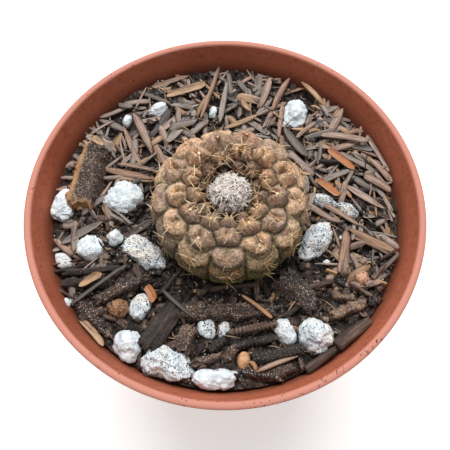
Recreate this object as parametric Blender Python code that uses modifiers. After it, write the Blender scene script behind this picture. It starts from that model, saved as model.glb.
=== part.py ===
"""Potted frailea cactus, built in Blender 4.5 at its real size, in metres.

The origin is the middle of the pot's foot, with +Z up and -Y towards the viewer of the photograph.
A tapered plastic pot holds a plug of gritty potting mix, which is soil crumb with bark chips and
rice hulls. The cactus stands in a plain hole in the mix with its tap root. It has thirteen ribs of
tubercles, most of them with a few short spines, and a woolly bud sits in its crown. Perlite lumps
and round feed prills lie half sunk in pockets of the mix.
"""

import math
import random
from typing import NamedTuple

import bmesh
import bpy
import numpy as np
from mathutils import Matrix, Vector

MM = 0.001
CLEARANCE = 0.35 * MM
SEAM_MERGE = 0.05 * MM

# Pot: a turned shell with a band round its rim.
POT_SIDES = 40
POT_HEIGHT = 68 * MM
RIM_RADIUS = 40 * MM
RIM_THICKNESS = 1.4 * MM
RIM_BAND_HEIGHT = 9.5 * MM
RIM_BAND_TAPER = 0.9 * MM
EDGE_ROUND = 0.4 * MM
WALL_THICKNESS = 1.3 * MM
BAND_FOOT_INNER_RADIUS = 36.0 * MM
FLOOR_INNER_RADIUS = 26.0 * MM
FLOOR_TOP = 3.0 * MM
FLOOR_THICKNESS = 1.5 * MM
FLOOR_CORNER = 1.2 * MM
FOOT_OUTER_RADIUS = 27.0 * MM
FOOT_INNER_RADIUS = 24.4 * MM
FOOT_FLARE = 0.5 * MM
DRAIN_HOLES = 5
DRAIN_HOLE_RADIUS = 2.5 * MM
DRAIN_CIRCLE_RADIUS = 15 * MM

# Potting mix: a rough field of crumb, with bark chips and rice hulls fused to it.
SOIL_LEVEL = 61.2 * MM
SOIL_GRID_STEP = 3.0 * MM
SOIL_RELIEF = 0.75 * MM
SOIL_WAVE = 7.5 * MM
SOIL_FINE_SHARE = 0.6
SOIL_SEEDS = (21, 22)
SOIL_BLOCK_BOTTOM = -10 * MM
PLUG_GAP = 0.45 * MM
PLUG_ABOVE_RIM = 4 * MM
BARK_SUNK = 2.5 * MM
BARK_NARROW_END = 0.72
BARK_BEVEL = 0.7
BARK_TILT = math.radians(3)
HULL_COUNT = 50
HULL_SEED = 11
HULL_BEARINGS = (-35, 215)
HULL_DISTANCES = (18.5, 33.0)
HULL_LENGTHS = (5.8, 8.6)
HULL_WIDTHS = (1.3, 2.0)
HULL_PITCHES = (4, 16)
HULL_ROLL = 0.5
HULL_THICKNESS = 0.9 * MM
HULL_BELLY = 1.35
HULL_RISE = 0.55 * MM

# Cactus: its middle, the height of its widest level, and its ribs of tubercles.
CACTUS_X = 0.9 * MM
CACTUS_Y = -1.2 * MM
EQUATOR_HEIGHT = 67.0 * MM
RIBS = 13
RIB_STEP = 5
RIB_PHASE = math.radians(-92)
RIB_HEIGHT = 0.5 * MM
TUBERCLES = 78
FIRST_TUBERCLE = 5.6 * MM
TUBERCLE_PITCH_AT_CROWN = 2.6 * MM
TUBERCLE_PITCH_AT_SOIL = 4.5 * MM
TUBERCLE_HEIGHT_SHARES = (0, 0.15, 0.32, 0.5, 0.65, 0.8, 1)
TUBERCLE_HEIGHTS = (0.8, 1.3, 1.7, 1.6, 1.3, 1.0, 0.7)
TUBERCLE_BLUNT_BELOW = 1.2
TUBERCLE_SQUARENESS = 2.4
SKIN_PAST_TUBERCLES = 3 * MM
CROWN_FLOOR_RUN = 3.2 * MM
CROWN_FADE_START = 5.2 * MM
CROWN_FADE = 2.2 * MM
COLUMNS_PER_RIB = 4
BODY_ROWS = 35
CROWN_SHARE_OF_ROWS = 0.07
SKIN_SHARE_OF_ROWS = 0.86

SPINE_LENGTH = 2.5 * MM
SPINE_RADIUS = 0.17 * MM
SPINE_ROOT = 0.6 * MM
SPINE_LENGTH_SPREAD = (0.8, 1.15)
SPINE_LEANS = (42, 66)
SPINE_TURN_SPREAD = 0.2
SPINES_PER_AREOLE = (3, 2)
FIRST_SPINED_TUBERCLE = 6
LOWEST_SPINE_TIP = -2.0 * MM
SPINE_BUD_GAP = 0.9 * MM
SPINE_SEED = 8

# Meridian of the cactus from the middle of its crown to the tip of its root: radius and height
# above the widest level, in millimetres, before the tubercles are raised from it.
MERIDIAN = (
    (0.0, 1.6), (2.9, 1.6), (4.8, 2.6), (5.9, 4.4), (7.6, 5.9), (9.9, 6.3), (12.2, 5.0), (13.8, 2.5),
    (14.4, 0.0), (14.3, -3.0), (13.3, -6.3), (11.0, -9.5), (7.1, -12.3), (3.8, -15.4), (2.7, -22.0),
    (1.7, -31.0), (0.0, -38.0),
)

# The hole that the plant stands in: how far it stands off the meridian, by the run from the crown.
HOLE_SIDES = 28
HOLE_ROWS = 15
HOLE_TOP = 14 * MM
HOLE_RUNS = (20, 24, 30, 40)
HOLE_GAPS = (2.5, 2.4, 2.3, 1.0)

# Woolly bud in the crown, with its middle above the widest level.
BUD_RADIUS = 4.0 * MM
BUD_HALF_HEIGHT = 2.95 * MM
BUD_CENTRE = 5.05 * MM
BUD_TUFT = 0.45 * MM
BUD_TUFT_WAVE = 0.35
BUD_SEED = 3


class Piece(NamedTuple):
    """A lump or chip on the mix: its place, its three sizes in millimetres and its turn in degrees."""

    x: float
    y: float
    length: float
    width: float
    height: float
    turn: float


LUMP_SEED = 40
LUMP_KNOBS = 0.2
LUMP_KNOB_WAVE = 0.9
LUMP_RISE = 0.12
PRILL_RISE = 0.2

PERLITE = (
    Piece(-34.15, 0.9, 7.6, 4.6, 4.2, 80),
    Piece(-21.2, 2.2, 7.4, 7.2, 5.6, 10),
    Piece(-27.2, -8.9, 5.4, 5.2, 4.6, 20),
    Piece(-22.9, -6.5, 3.8, 3.4, 3.0, 40),
    Piece(-16.5, -9.6, 10.0, 5.8, 4.8, -35),
    Piece(-32.9, -11.1, 3.9, 3.1, 2.8, -35),
    Piece(-16.3, -20.6, 5.6, 4.2, 3.4, 65),
    Piece(-18.3, -28.0, 6.0, 5.4, 4.8, 100),
    Piece(-10.9, -31.5, 10.0, 6.4, 5.0, -22),
    Piece(-1.9, -34.3, 8.3, 4.0, 3.9, 2),
    Piece(-3.5, -25.0, 4.5, 3.2, 2.9, 100),
    Piece(-0.2, -25.1, 4.2, 2.4, 2.2, 75),
    Piece(11.5, -25.6, 4.9, 3.5, 3.6, -65),
    Piece(16.8, -26.1, 6.8, 6.0, 5.2, -30),
    Piece(18.7, -7.2, 8.6, 5.4, 5.0, 52),
    Piece(20.9, 1.9, 5.2, 3.1, 2.6, -12),
    Piece(25.9, -0.4, 4.7, 3.2, 2.6, -32),
    Piece(16.2, 23.8, 7.4, 6.0, 4.6, 75),
    Piece(-15.1, 25.2, 4.5, 3.4, 3.0, 15),
    Piece(-22.4, 22.8, 3.2, 2.3, 2.2, 70),
    Piece(-2.7, 24.5, 3.2, 1.9, 1.9, 85),
)

PRILLS = (
    Piece(-31.2, -8.7, 1.8, 1.8, 1.8, 0),
    Piece(-30.4, 0.3, 1.9, 1.9, 1.9, 0),
    Piece(-20.6, -21.3, 3.8, 3.8, 3.8, 0),
    Piece(3.5, -31.0, 3.4, 2.5, 2.6, 80),
    Piece(27.3, -15.0, 3.0, 3.0, 3.0, 0),
)

# Bark chips, whose height is what shows above the crumb.
BARK = (
    Piece(-28.6, 8.3, 15.0, 7.2, 4.0, 84),
    Piece(0.6, -21.7, 19.5, 4.4, 2.4, 0),
    Piece(5.8, -25.0, 9.0, 2.0, 1.8, 10),
    Piece(5.4, -27.6, 9.0, 2.2, 1.7, 12),
    Piece(9.8, -30.0, 8.4, 3.2, 2.2, 10),
    Piece(-12.0, -24.2, 11.5, 5.6, 2.4, 58),
    Piece(-7.4, -27.0, 5.0, 4.4, 2.6, 70),
    Piece(-2.9, -30.7, 5.6, 2.0, 1.8, 18),
    Piece(-1.4, -28.2, 4.6, 2.2, 1.6, 32),
    Piece(-26.6, -13.4, 12.0, 1.9, 1.8, 5),
    Piece(-28.6, -16.2, 7.4, 2.4, 1.7, -6),
    Piece(-20.6, -17.5, 11.0, 2.6, 2.0, 28),
    Piece(-26.2, -22.4, 9.0, 3.2, 1.8, -48),
    Piece(24.4, -26.0, 8.6, 3.0, 2.4, 36),
    Piece(18.0, -31.0, 7.0, 2.2, 2.0, 35),
    Piece(24.1, -21.2, 8.3, 2.6, 2.0, 22),
    Piece(14.4, -17.8, 9.0, 6.0, 2.2, -50),
    Piece(7.0, -33.4, 6.4, 2.6, 1.8, -10),
    Piece(24.2, -11.6, 5.4, 2.0, 2.0, 82),
)


def clear_scene():
    for obj in list(bpy.data.objects):
        bpy.data.objects.remove(obj)


def new_collection(name):
    collection = bpy.data.collections.new(name)
    bpy.context.scene.collection.children.link(collection)
    return collection


def new_material(name, colour, roughness):
    material = bpy.data.materials.new(name)
    material.use_nodes = True
    shader = material.node_tree.nodes["Principled BSDF"]
    shader.inputs["Base Color"].default_value = (*colour, 1.0)
    shader.inputs["Roughness"].default_value = roughness
    shader.inputs["Metallic"].default_value = 0.0
    return material


def object_from_bmesh(name, bm, collection, material=None):
    """A new object that holds the bmesh's shape, shaded smooth."""
    mesh = bpy.data.meshes.new(name)
    bm.to_mesh(mesh)
    bm.free()
    mesh.shade_smooth()
    if material is not None:
        mesh.materials.append(material)
    obj = bpy.data.objects.new(name, mesh)
    collection.objects.link(obj)
    return obj


def coordinates(bm):
    return np.array([vertex.co for vertex in bm.verts])


def value_noise(points, wave, seed):
    """Smooth noise from -1 to 1: random values on a lattice, blended between its corners."""
    size = 16
    lattice = np.random.default_rng(seed).uniform(-1, 1, (size, size, size))
    place = np.asarray(points, float) / wave + 100.0
    corner = np.floor(place).astype(int)
    part = place - corner
    ease = part * part * (3 - 2 * part)
    total = np.zeros(len(place))
    for step in np.ndindex(2, 2, 2):
        weight = np.abs(1 - np.array(step) - ease).prod(1)
        index = (corner + step) % size
        total += weight * lattice[index[:, 0], index[:, 1], index[:, 2]]
    return total


def turned(name, profile, sides, collection, material=None):
    """A shape of revolution on a Screw modifier; the profile of (radius, height) runs down its outer side."""
    bm = bmesh.new()
    points = [bm.verts.new((radius, 0, height)) for radius, height in profile]
    for first, second in zip(points, points[1:]):
        bm.edges.new((first, second))
    obj = object_from_bmesh(name, bm, collection, material)
    screw = obj.modifiers.new("turn", "SCREW")
    screw.steps = screw.render_steps = sides
    screw.use_merge_vertices = True
    screw.merge_threshold = SEAM_MERGE
    return obj


def apply_modifiers(obj):
    """Makes the evaluated shape the object's own mesh."""
    bpy.context.view_layer.update()
    evaluated = obj.evaluated_get(bpy.context.evaluated_depsgraph_get())
    mesh = bpy.data.meshes.new_from_object(evaluated)
    obj.modifiers.clear()
    obj.data = mesh


def combine(obj, others, operation):
    """Joins a collection's objects to obj, or cuts them from it, and removes them.

    The solver is MANIFOLD, because EXACT leaves nothing of the mix where the plug trims it.
    """
    boolean = obj.modifiers.new(operation.lower(), "BOOLEAN")
    boolean.operation = operation
    boolean.operand_type = "COLLECTION"
    boolean.collection = others
    boolean.solver = "MANIFOLD"
    apply_modifiers(obj)
    for other in list(others.objects):
        bpy.data.objects.remove(other)
    bpy.data.collections.remove(others)


def keep_largest_body(obj):
    """Drops the loose scraps that a cut leaves beside the main body."""
    bm = bmesh.new()
    bm.from_mesh(obj.data)
    waiting = set(bm.verts)
    bodies = []
    while waiting:
        front = [waiting.pop()]
        body = set(front)
        while front:
            vertex = front.pop()
            for edge in vertex.link_edges:
                other = edge.other_vert(vertex)
                if other in waiting:
                    waiting.discard(other)
                    body.add(other)
                    front.append(other)
        bodies.append(body)
    largest = max(bodies, key=len)
    scraps = [vertex for body in bodies if body is not largest for vertex in body]
    bmesh.ops.delete(bm, geom=scraps, context="VERTS")
    bm.to_mesh(obj.data)
    bm.free()


def pot_inner_radius(height):
    """Radius of the pot's inner wall: one taper up to the rim band, and a wider one within it."""
    band_foot = POT_HEIGHT - RIM_BAND_HEIGHT
    if height > band_foot:
        share = (height - band_foot) / RIM_BAND_HEIGHT
        return BAND_FOOT_INNER_RADIUS + share * (RIM_RADIUS - RIM_THICKNESS - BAND_FOOT_INNER_RADIUS)
    share = (height - FLOOR_TOP) / (band_foot - FLOOR_TOP)
    return FLOOR_INNER_RADIUS + share * (BAND_FOOT_INNER_RADIUS - FLOOR_INNER_RADIUS)


def make_pot(collection, cutters, material):
    """The pot: up its inner side, over the rim, down the outer side and the foot, and under the floor."""
    band_foot = POT_HEIGHT - RIM_BAND_HEIGHT
    inner_rim = RIM_RADIUS - RIM_THICKNESS
    band_edge = RIM_RADIUS - RIM_BAND_TAPER
    floor_underside = FLOOR_TOP - FLOOR_THICKNESS
    profile = [
        (0, FLOOR_TOP),
        (FLOOR_INNER_RADIUS - FLOOR_CORNER, FLOOR_TOP),
        (pot_inner_radius(FLOOR_TOP + FLOOR_CORNER), FLOOR_TOP + FLOOR_CORNER),
        (BAND_FOOT_INNER_RADIUS, band_foot),
        (inner_rim, POT_HEIGHT - EDGE_ROUND),
        (inner_rim + EDGE_ROUND, POT_HEIGHT),
        (RIM_RADIUS - EDGE_ROUND, POT_HEIGHT),
        (RIM_RADIUS, POT_HEIGHT - EDGE_ROUND),
        (band_edge, band_foot + EDGE_ROUND),
        (band_edge - EDGE_ROUND, band_foot),
        (BAND_FOOT_INNER_RADIUS + WALL_THICKNESS, band_foot - EDGE_ROUND),
        (FOOT_OUTER_RADIUS + FOOT_FLARE, 2 * FOOT_FLARE),
        (FOOT_OUTER_RADIUS, 0),
        (FOOT_INNER_RADIUS, 0),
        (FOOT_INNER_RADIUS - FOOT_FLARE, floor_underside),
        (0, floor_underside),
    ]
    pot = turned("pot", profile, POT_SIDES, collection, material)
    for index in range(DRAIN_HOLES):
        angle = 2 * math.pi * (index + 0.5) / DRAIN_HOLES
        bm = bmesh.new()
        bmesh.ops.create_cone(
            bm,
            cap_ends=True,
            segments=10,
            radius1=DRAIN_HOLE_RADIUS,
            radius2=DRAIN_HOLE_RADIUS,
            depth=4 * FLOOR_THICKNESS,
        )
        cutter = object_from_bmesh(f"drain_hole_{index + 1}", bm, cutters)
        cutter.location = (
            DRAIN_CIRCLE_RADIUS * math.cos(angle),
            DRAIN_CIRCLE_RADIUS * math.sin(angle),
            FLOOR_TOP - FLOOR_THICKNESS / 2,
        )
        cutter.hide_render = True
        cutter.display_type = "WIRE"
        hole = pot.modifiers.new(cutter.name, "BOOLEAN")
        hole.operation = "DIFFERENCE"
        hole.object = cutter


class Meridian:
    """The cactus's meridian as a smooth curve through its points, by the distance run from the crown."""

    def __init__(self):
        keys = np.array(MERIDIAN) * MM
        chord = np.concatenate([[0], np.cumsum(np.hypot(*np.diff(keys, axis=0).T))])
        slope = np.gradient(keys, chord, axis=0)
        slope[0] = (1, 0)
        fine = np.linspace(0, chord[-1], 600)
        span = np.clip(np.searchsorted(chord, fine, side="right") - 1, 0, len(chord) - 2)
        gap = (chord[span + 1] - chord[span])[:, None]
        part = (fine - chord[span])[:, None] / gap
        # Hermite blend of the places and slopes at the two ends of each span.
        curve = (
            (2 * part**3 - 3 * part**2 + 1) * keys[span]
            + (part**3 - 2 * part**2 + part) * gap * slope[span]
            + (3 * part**2 - 2 * part**3) * keys[span + 1]
            + (part**3 - part**2) * gap * slope[span + 1]
        )
        self.run = np.concatenate([[0], np.cumsum(np.hypot(*np.diff(curve, axis=0).T))])
        self.radius = np.maximum(curve[:, 0], 0)
        self.height = curve[:, 1]
        turn = np.gradient(curve, self.run, axis=0)
        self.normal = np.stack([-turn[:, 1], turn[:, 0]], 1) / np.hypot(*turn.T)[:, None]

    def at(self, run):
        """Radius, height, and the outward normal's radial and upward parts, at distances from the crown."""
        return (
            np.interp(run, self.run, self.radius),
            np.interp(run, self.run, self.height),
            np.interp(run, self.run, self.normal[:, 0]),
            np.interp(run, self.run, self.normal[:, 1]),
        )


def tubercle_table(meridian):
    """Angle, run from the crown, half width, half length and height of each tubercle.

    Tubercle n stands on rib 5n mod 13, so that neighbours step round the ribs as they do on the
    plant. The pitch along a rib grows from the crown to the soil.
    """
    number = np.arange(TUBERCLES)
    share = number / (TUBERCLES - 1)
    per_rib = TUBERCLES / RIBS
    growth = (TUBERCLE_PITCH_AT_SOIL - TUBERCLE_PITCH_AT_CROWN) / 2
    run = FIRST_TUBERCLE + per_rib * (TUBERCLE_PITCH_AT_CROWN * share + growth * share**2)
    angle = 2 * math.pi * ((RIB_STEP * number) % RIBS) / RIBS + RIB_PHASE
    half_width = 0.52 * 2 * math.pi * meridian.at(run)[0] / RIBS
    half_length = 0.5 * np.gradient(run) * RIBS
    height = np.interp(share, TUBERCLE_HEIGHT_SHARES, TUBERCLE_HEIGHTS) * MM
    return angle, run, half_width, half_length, height


def skin_relief(angle, run, meridian):
    """How far the skin stands out: the tallest tubercle at hand, blunt towards the soil, over a low rib."""
    t_angle, t_run, half_width, half_length, height = tubercle_table(meridian)
    radius = np.maximum(meridian.at(run)[0], 1 * MM)
    turn = (angle[:, None] - t_angle + math.pi) % (2 * math.pi) - math.pi
    across = turn * radius[:, None] / half_width
    along = (run[:, None] - t_run) / half_length
    along *= np.where(along > 0, TUBERCLE_BLUNT_BELOW, 1.0)
    dome = height * np.sqrt(np.clip(1 - np.abs(across) ** TUBERCLE_SQUARENESS - along**2, 0, 1))
    rib_turn = ((angle - RIB_PHASE) * RIBS / (2 * math.pi) + 0.5) % 1 - 0.5
    rib = RIB_HEIGHT * (1 - (2 * rib_turn) ** 2)
    skin_end = t_run[-1] + SKIN_PAST_TUBERCLES
    fade_to_root = np.clip((skin_end - run) / SKIN_PAST_TUBERCLES, 0, 1)
    fade_to_crown = np.clip((run - CROWN_FADE_START) / CROWN_FADE, 0, 1)
    return (dome.max(1) + rib) * fade_to_root * fade_to_crown


def make_cactus(collection, material):
    """The body and tap root, raised by formula from a UV sphere's grid, with its spines joined on."""
    meridian = Meridian()
    bm = bmesh.new()
    bmesh.ops.create_uvsphere(bm, u_segments=RIBS * COLUMNS_PER_RIB, v_segments=BODY_ROWS, radius=1)
    co = coordinates(bm)
    angle = np.arctan2(co[:, 1], co[:, 0]) + RIB_PHASE
    row = np.arccos(np.clip(co[:, 2], -1, 1)) / math.pi
    # Most rows lie on the skin with tubercles, and the crown's floor and the root have few.
    row_ends = (0, CROWN_SHARE_OF_ROWS, SKIN_SHARE_OF_ROWS, 1)
    skin_end = tubercle_table(meridian)[1][-1] + SKIN_PAST_TUBERCLES
    run = np.interp(row, row_ends, (0, CROWN_FLOOR_RUN, skin_end, meridian.run[-1]))
    radius, height, outward, upward = meridian.at(run)
    relief = skin_relief(angle, run, meridian)
    radius = radius + relief * outward
    height = height + relief * upward
    radius[(row < 1e-4) | (row > 1 - 1e-4)] = 0
    for vertex, a, r, z in zip(bm.verts, angle, radius, height):
        vertex.co = (r * math.cos(a), r * math.sin(a), z)
    body = object_from_bmesh("cactus_body", bm, collection, material)
    spines = new_collection("spines")
    make_spines(meridian, spines)
    combine(body, spines, "UNION")
    keep_largest_body(body)
    body.location = (CACTUS_X, CACTUS_Y, EQUATOR_HEIGHT)


def make_spines(meridian, collection):
    """Two or three slim needles on each tubercle, spread round its areole, clear of the soil and the bud."""
    draw = random.Random(SPINE_SEED)
    t_angle, t_run, _, _, height = tubercle_table(meridian)
    for number in range(FIRST_SPINED_TUBERCLE, TUBERCLES):
        radius, level, outward, upward = (float(value) for value in meridian.at(t_run[number]))
        angle = float(t_angle[number])
        radial = Vector((math.cos(angle), math.sin(angle), 0))
        normal = (radial * outward + Vector((0, 0, upward))).normalized()
        across = Vector((-math.sin(angle), math.cos(angle), 0))
        along = normal.cross(across)
        areole = radial * radius + Vector((0, 0, level)) + normal * (float(height[number]) + RIB_HEIGHT)
        start = draw.uniform(0, 2 * math.pi)
        count = SPINES_PER_AREOLE[number % 2]
        for index in range(count):
            wander = draw.uniform(-SPINE_TURN_SPREAD, SPINE_TURN_SPREAD)
            spread = start + 2 * math.pi * (index + wander) / count
            lean = math.radians(draw.uniform(*SPINE_LEANS))
            length = SPINE_LENGTH * draw.uniform(*SPINE_LENGTH_SPREAD)
            sideways = across * math.cos(spread) + along * math.sin(spread)
            direction = (normal * math.cos(lean) + sideways * math.sin(lean)).normalized()
            tip = areole + direction * length
            beside_bud = tip.xy.length / (BUD_RADIUS + SPINE_BUD_GAP)
            above_bud = (tip.z - BUD_CENTRE) / (BUD_HALF_HEIGHT + SPINE_BUD_GAP)
            if tip.z < LOWEST_SPINE_TIP or math.hypot(beside_bud, above_bud) < 1:
                continue
            bm = bmesh.new()
            depth = length + SPINE_ROOT
            bmesh.ops.create_cone(bm, cap_ends=True, segments=3, radius1=SPINE_RADIUS, radius2=0, depth=depth)
            spine = object_from_bmesh(f"spine_{number}_{index}", bm, collection)
            middle = areole + direction * (length - SPINE_ROOT) / 2
            turn = direction.to_track_quat("Z", "Y").to_matrix().to_4x4()
            spine.matrix_world = Matrix.Translation(middle) @ turn


def make_bud(collection, material):
    """The woolly bud: a flattened ball whose surface is pulled out into tufts."""
    bm = bmesh.new()
    bmesh.ops.create_icosphere(bm, subdivisions=3, radius=1)
    co = coordinates(bm)
    swell = 1 + value_noise(co, BUD_TUFT_WAVE, BUD_SEED) * BUD_TUFT / BUD_RADIUS
    for vertex, factor in zip(bm.verts, swell):
        vertex.co = vertex.co * float(factor)
        vertex.co = vertex.co * Vector((BUD_RADIUS, BUD_RADIUS, BUD_HALF_HEIGHT))
    bud = object_from_bmesh("woolly_bud", bm, collection, material)
    bud.location = (CACTUS_X, CACTUS_Y, EQUATOR_HEIGHT + BUD_CENTRE)


def soil_height(x, y):
    """Height of the crumbly surface at places in metres: two waves of noise on the soil's level."""
    places = np.stack([x, y, np.zeros_like(x)], 1)
    coarse = value_noise(places, SOIL_WAVE, SOIL_SEEDS[0])
    fine = value_noise(places, SOIL_WAVE / 2.1, SOIL_SEEDS[1])
    return SOIL_LEVEL + SOIL_RELIEF * (coarse + SOIL_FINE_SHARE * fine)


def soil_height_at(x, y):
    return float(soil_height(np.array([x]), np.array([y]))[0])


def shape_lump(bm, sizes, seed, grow):
    """Turns a ball into a knobbly grain of three sizes, grown on every side; no seed leaves it smooth."""
    co = coordinates(bm)
    knobs = np.ones(len(co)) if seed is None else 1 + LUMP_KNOBS * value_noise(co, LUMP_KNOB_WAVE, seed)
    half = Vector([size / 2 + grow for size in sizes])
    for vertex, factor in zip(bm.verts, knobs):
        vertex.co = vertex.co * float(factor)
        vertex.co = vertex.co * half


def make_grains(collection, pockets, perlite, prill):
    """Every perlite lump and prill, each with the pocket that it lies in, which is cut from the mix."""
    grains = [
        (f"perlite_{index + 1:02d}", perlite, piece, LUMP_SEED + index, LUMP_RISE)
        for index, piece in enumerate(PERLITE)
    ]
    grains += [
        (f"feed_prill_{index + 1}", prill, piece, None, PRILL_RISE)
        for index, piece in enumerate(PRILLS)
    ]
    for name, material, piece, seed, rise in grains:
        sizes = (piece.length * MM, piece.width * MM, piece.height * MM)
        level = soil_height_at(piece.x * MM, piece.y * MM)
        pair = (("", collection, material, 0), ("_pocket", pockets, None, CLEARANCE))
        for suffix, home, look, grow in pair:
            bm = bmesh.new()
            bmesh.ops.create_icosphere(bm, subdivisions=2, radius=1)
            shape_lump(bm, sizes, seed, grow)
            grain = object_from_bmesh(name + suffix, bm, home, look)
            grain.location = (piece.x * MM, piece.y * MM, level + rise * sizes[2])
            grain.rotation_euler = (0, 0, math.radians(piece.turn))


def make_bark(collection):
    """Bark chips: blocks that narrow to one end and to the top, set into the soil at a slight tilt."""
    for index, piece in enumerate(BARK):
        bm = bmesh.new()
        bmesh.ops.create_cube(bm, size=1)
        for vertex in bm.verts:
            end = BARK_NARROW_END if vertex.co.x > 0 else 1.0
            top = BARK_BEVEL if vertex.co.z > 0 else 1.0
            vertex.co.x *= piece.length * MM
            vertex.co.y *= piece.width * MM * end * top
            vertex.co.z *= piece.height * MM + BARK_SUNK
        chip = object_from_bmesh(f"bark_{index + 1}", bm, collection)
        tilt = BARK_TILT if index % 2 else -BARK_TILT
        level = soil_height_at(piece.x * MM, piece.y * MM)
        chip.rotation_euler = (tilt, tilt, math.radians(piece.turn))
        chip.location = (piece.x * MM, piece.y * MM, level + (piece.height * MM - BARK_SUNK) / 2)


def make_hulls(collection):
    """Rice hulls: slim pointed slivers strewn behind and beside the plant, each with one end sunk."""
    draw = random.Random(HULL_SEED)
    for index in range(HULL_COUNT):
        bearing = math.radians(draw.uniform(*HULL_BEARINGS))
        distance = draw.uniform(*HULL_DISTANCES) * MM
        length = draw.uniform(*HULL_LENGTHS) * MM
        width = draw.uniform(*HULL_WIDTHS) * MM
        turn = draw.uniform(0, math.pi)
        pitch = math.radians(draw.uniform(*HULL_PITCHES))
        roll = draw.uniform(-HULL_ROLL, HULL_ROLL)
        bm = bmesh.new()
        bmesh.ops.create_uvsphere(bm, u_segments=3, v_segments=4, radius=1)
        for vertex in bm.verts:
            belly = 1.0 if abs(vertex.co.z) > 0.9 or abs(vertex.co.z) < 0.2 else HULL_BELLY
            x, y, z = vertex.co
            vertex.co = (z * length / 2, x * width / 2 * belly, y * HULL_THICKNESS / 2 * belly)
        hull = object_from_bmesh(f"hull_{index + 1}", bm, collection)
        x, y = distance * math.cos(bearing), distance * math.sin(bearing)
        hull.rotation_euler = (roll, -pitch, turn)
        hull.location = (x, y, soil_height_at(x, y) + HULL_RISE)


def make_root_hole(cutters):
    """The plain hole that the plant stands in: its meridian below the widest level, a little wider."""
    meridian = Meridian()
    widest = meridian.run[np.argmax(meridian.radius)]
    run = np.linspace(widest, meridian.run[-1], HOLE_ROWS)
    radius, height, outward, upward = meridian.at(run)
    gap = np.interp(run, np.array(HOLE_RUNS) * MM, np.array(HOLE_GAPS) * MM)
    radius = np.maximum(radius + gap * outward, HOLE_GAPS[-1] * MM)
    height = height + gap * np.minimum(upward, 0)
    profile = [(0, HOLE_TOP), (float(radius[0]), HOLE_TOP)]
    profile += [(float(r), float(z)) for r, z in zip(radius, height)]
    bottom = profile[-1][1] - HOLE_GAPS[-1] * MM
    profile += [(HOLE_GAPS[-1] * MM, bottom), (0, bottom)]
    hole = turned("root_hole", profile, HOLE_SIDES, cutters)
    hole.location = (CACTUS_X, CACTUS_Y, EQUATOR_HEIGHT)


def make_plug(cutters):
    """The inside of the pot, a little smaller, which trims the field of soil to a plug."""
    gap = PLUG_GAP
    band_foot = POT_HEIGHT - RIM_BAND_HEIGHT
    above_rim = POT_HEIGHT + PLUG_ABOVE_RIM
    rim_radius = pot_inner_radius(POT_HEIGHT) - gap
    profile = [
        (0, above_rim),
        (rim_radius, above_rim),
        (rim_radius, POT_HEIGHT),
        (BAND_FOOT_INNER_RADIUS - gap, band_foot),
        (FLOOR_INNER_RADIUS - gap, FLOOR_TOP + FLOOR_CORNER),
        (FLOOR_INNER_RADIUS - FLOOR_CORNER - 2 * gap, FLOOR_TOP + gap),
        (0, FLOOR_TOP + gap),
    ]
    turned("plug", profile, POT_SIDES, cutters)


def make_mix(collection, material, pockets):
    """The plug of potting mix: a block of rough soil with chips joined on, trimmed to the pot and pierced."""
    cells = int(2 * RIM_RADIUS / SOIL_GRID_STEP)
    bm = bmesh.new()
    bmesh.ops.create_grid(bm, x_segments=cells, y_segments=cells, size=RIM_RADIUS)
    co = coordinates(bm)
    for vertex, z in zip(bm.verts, soil_height(co[:, 0], co[:, 1])):
        vertex.co.z = z
    block = bmesh.ops.extrude_face_region(bm, geom=bm.faces[:])["geom"]
    for item in block:
        if isinstance(item, bmesh.types.BMVert):
            item.co.z = SOIL_BLOCK_BOTTOM
    underside = [face for face in bm.faces if all(vertex.co.z < 0 for vertex in face.verts)]
    bmesh.ops.dissolve_faces(bm, faces=underside)
    bmesh.ops.recalc_face_normals(bm, faces=bm.faces)
    mix = object_from_bmesh("potting_mix", bm, collection, material)
    chips = new_collection("bark_and_hulls")
    make_bark(chips)
    make_hulls(chips)
    combine(mix, chips, "UNION")
    trim = new_collection("pot_inside")
    make_plug(trim)
    combine(mix, trim, "INTERSECT")
    make_root_hole(pockets)
    combine(mix, pockets, "DIFFERENCE")
    keep_largest_body(mix)


def main():
    clear_scene()
    plant = new_collection("potted_frailea_cactus")
    cutters = new_collection("cutters")
    pockets = new_collection("pockets")
    make_pot(plant, cutters, new_material("terracotta_plastic", (0.56, 0.20, 0.13), 0.45))
    make_cactus(plant, new_material("cactus_skin", (0.20, 0.14, 0.08), 0.7))
    make_bud(plant, new_material("bud_wool", (0.55, 0.50, 0.48), 0.95))
    perlite = new_material("perlite_white", (0.78, 0.80, 0.81), 0.9)
    prill = new_material("prill_tan", (0.55, 0.33, 0.17), 0.6)
    make_grains(plant, pockets, perlite, prill)
    make_mix(plant, new_material("potting_mix_brown", (0.06, 0.04, 0.03), 0.95), pockets)


main()
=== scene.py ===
"""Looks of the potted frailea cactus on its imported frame, built in Blender 4.5, in metres.

Each part of the object is a class that holds its sizes and builds its own surfaces: the pot, the
plug of mix with its bark, hulls and grit, the perlite and feed prills, and the cactus with its
areoles, spines and woolly bud. The origin is the middle of the pot's foot, +Z is up, and the
photograph was taken from the -Y side, looking steeply down.
"""

import logging
import math
import random
from collections.abc import Mapping
from dataclasses import dataclass, field
from enum import Enum

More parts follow.
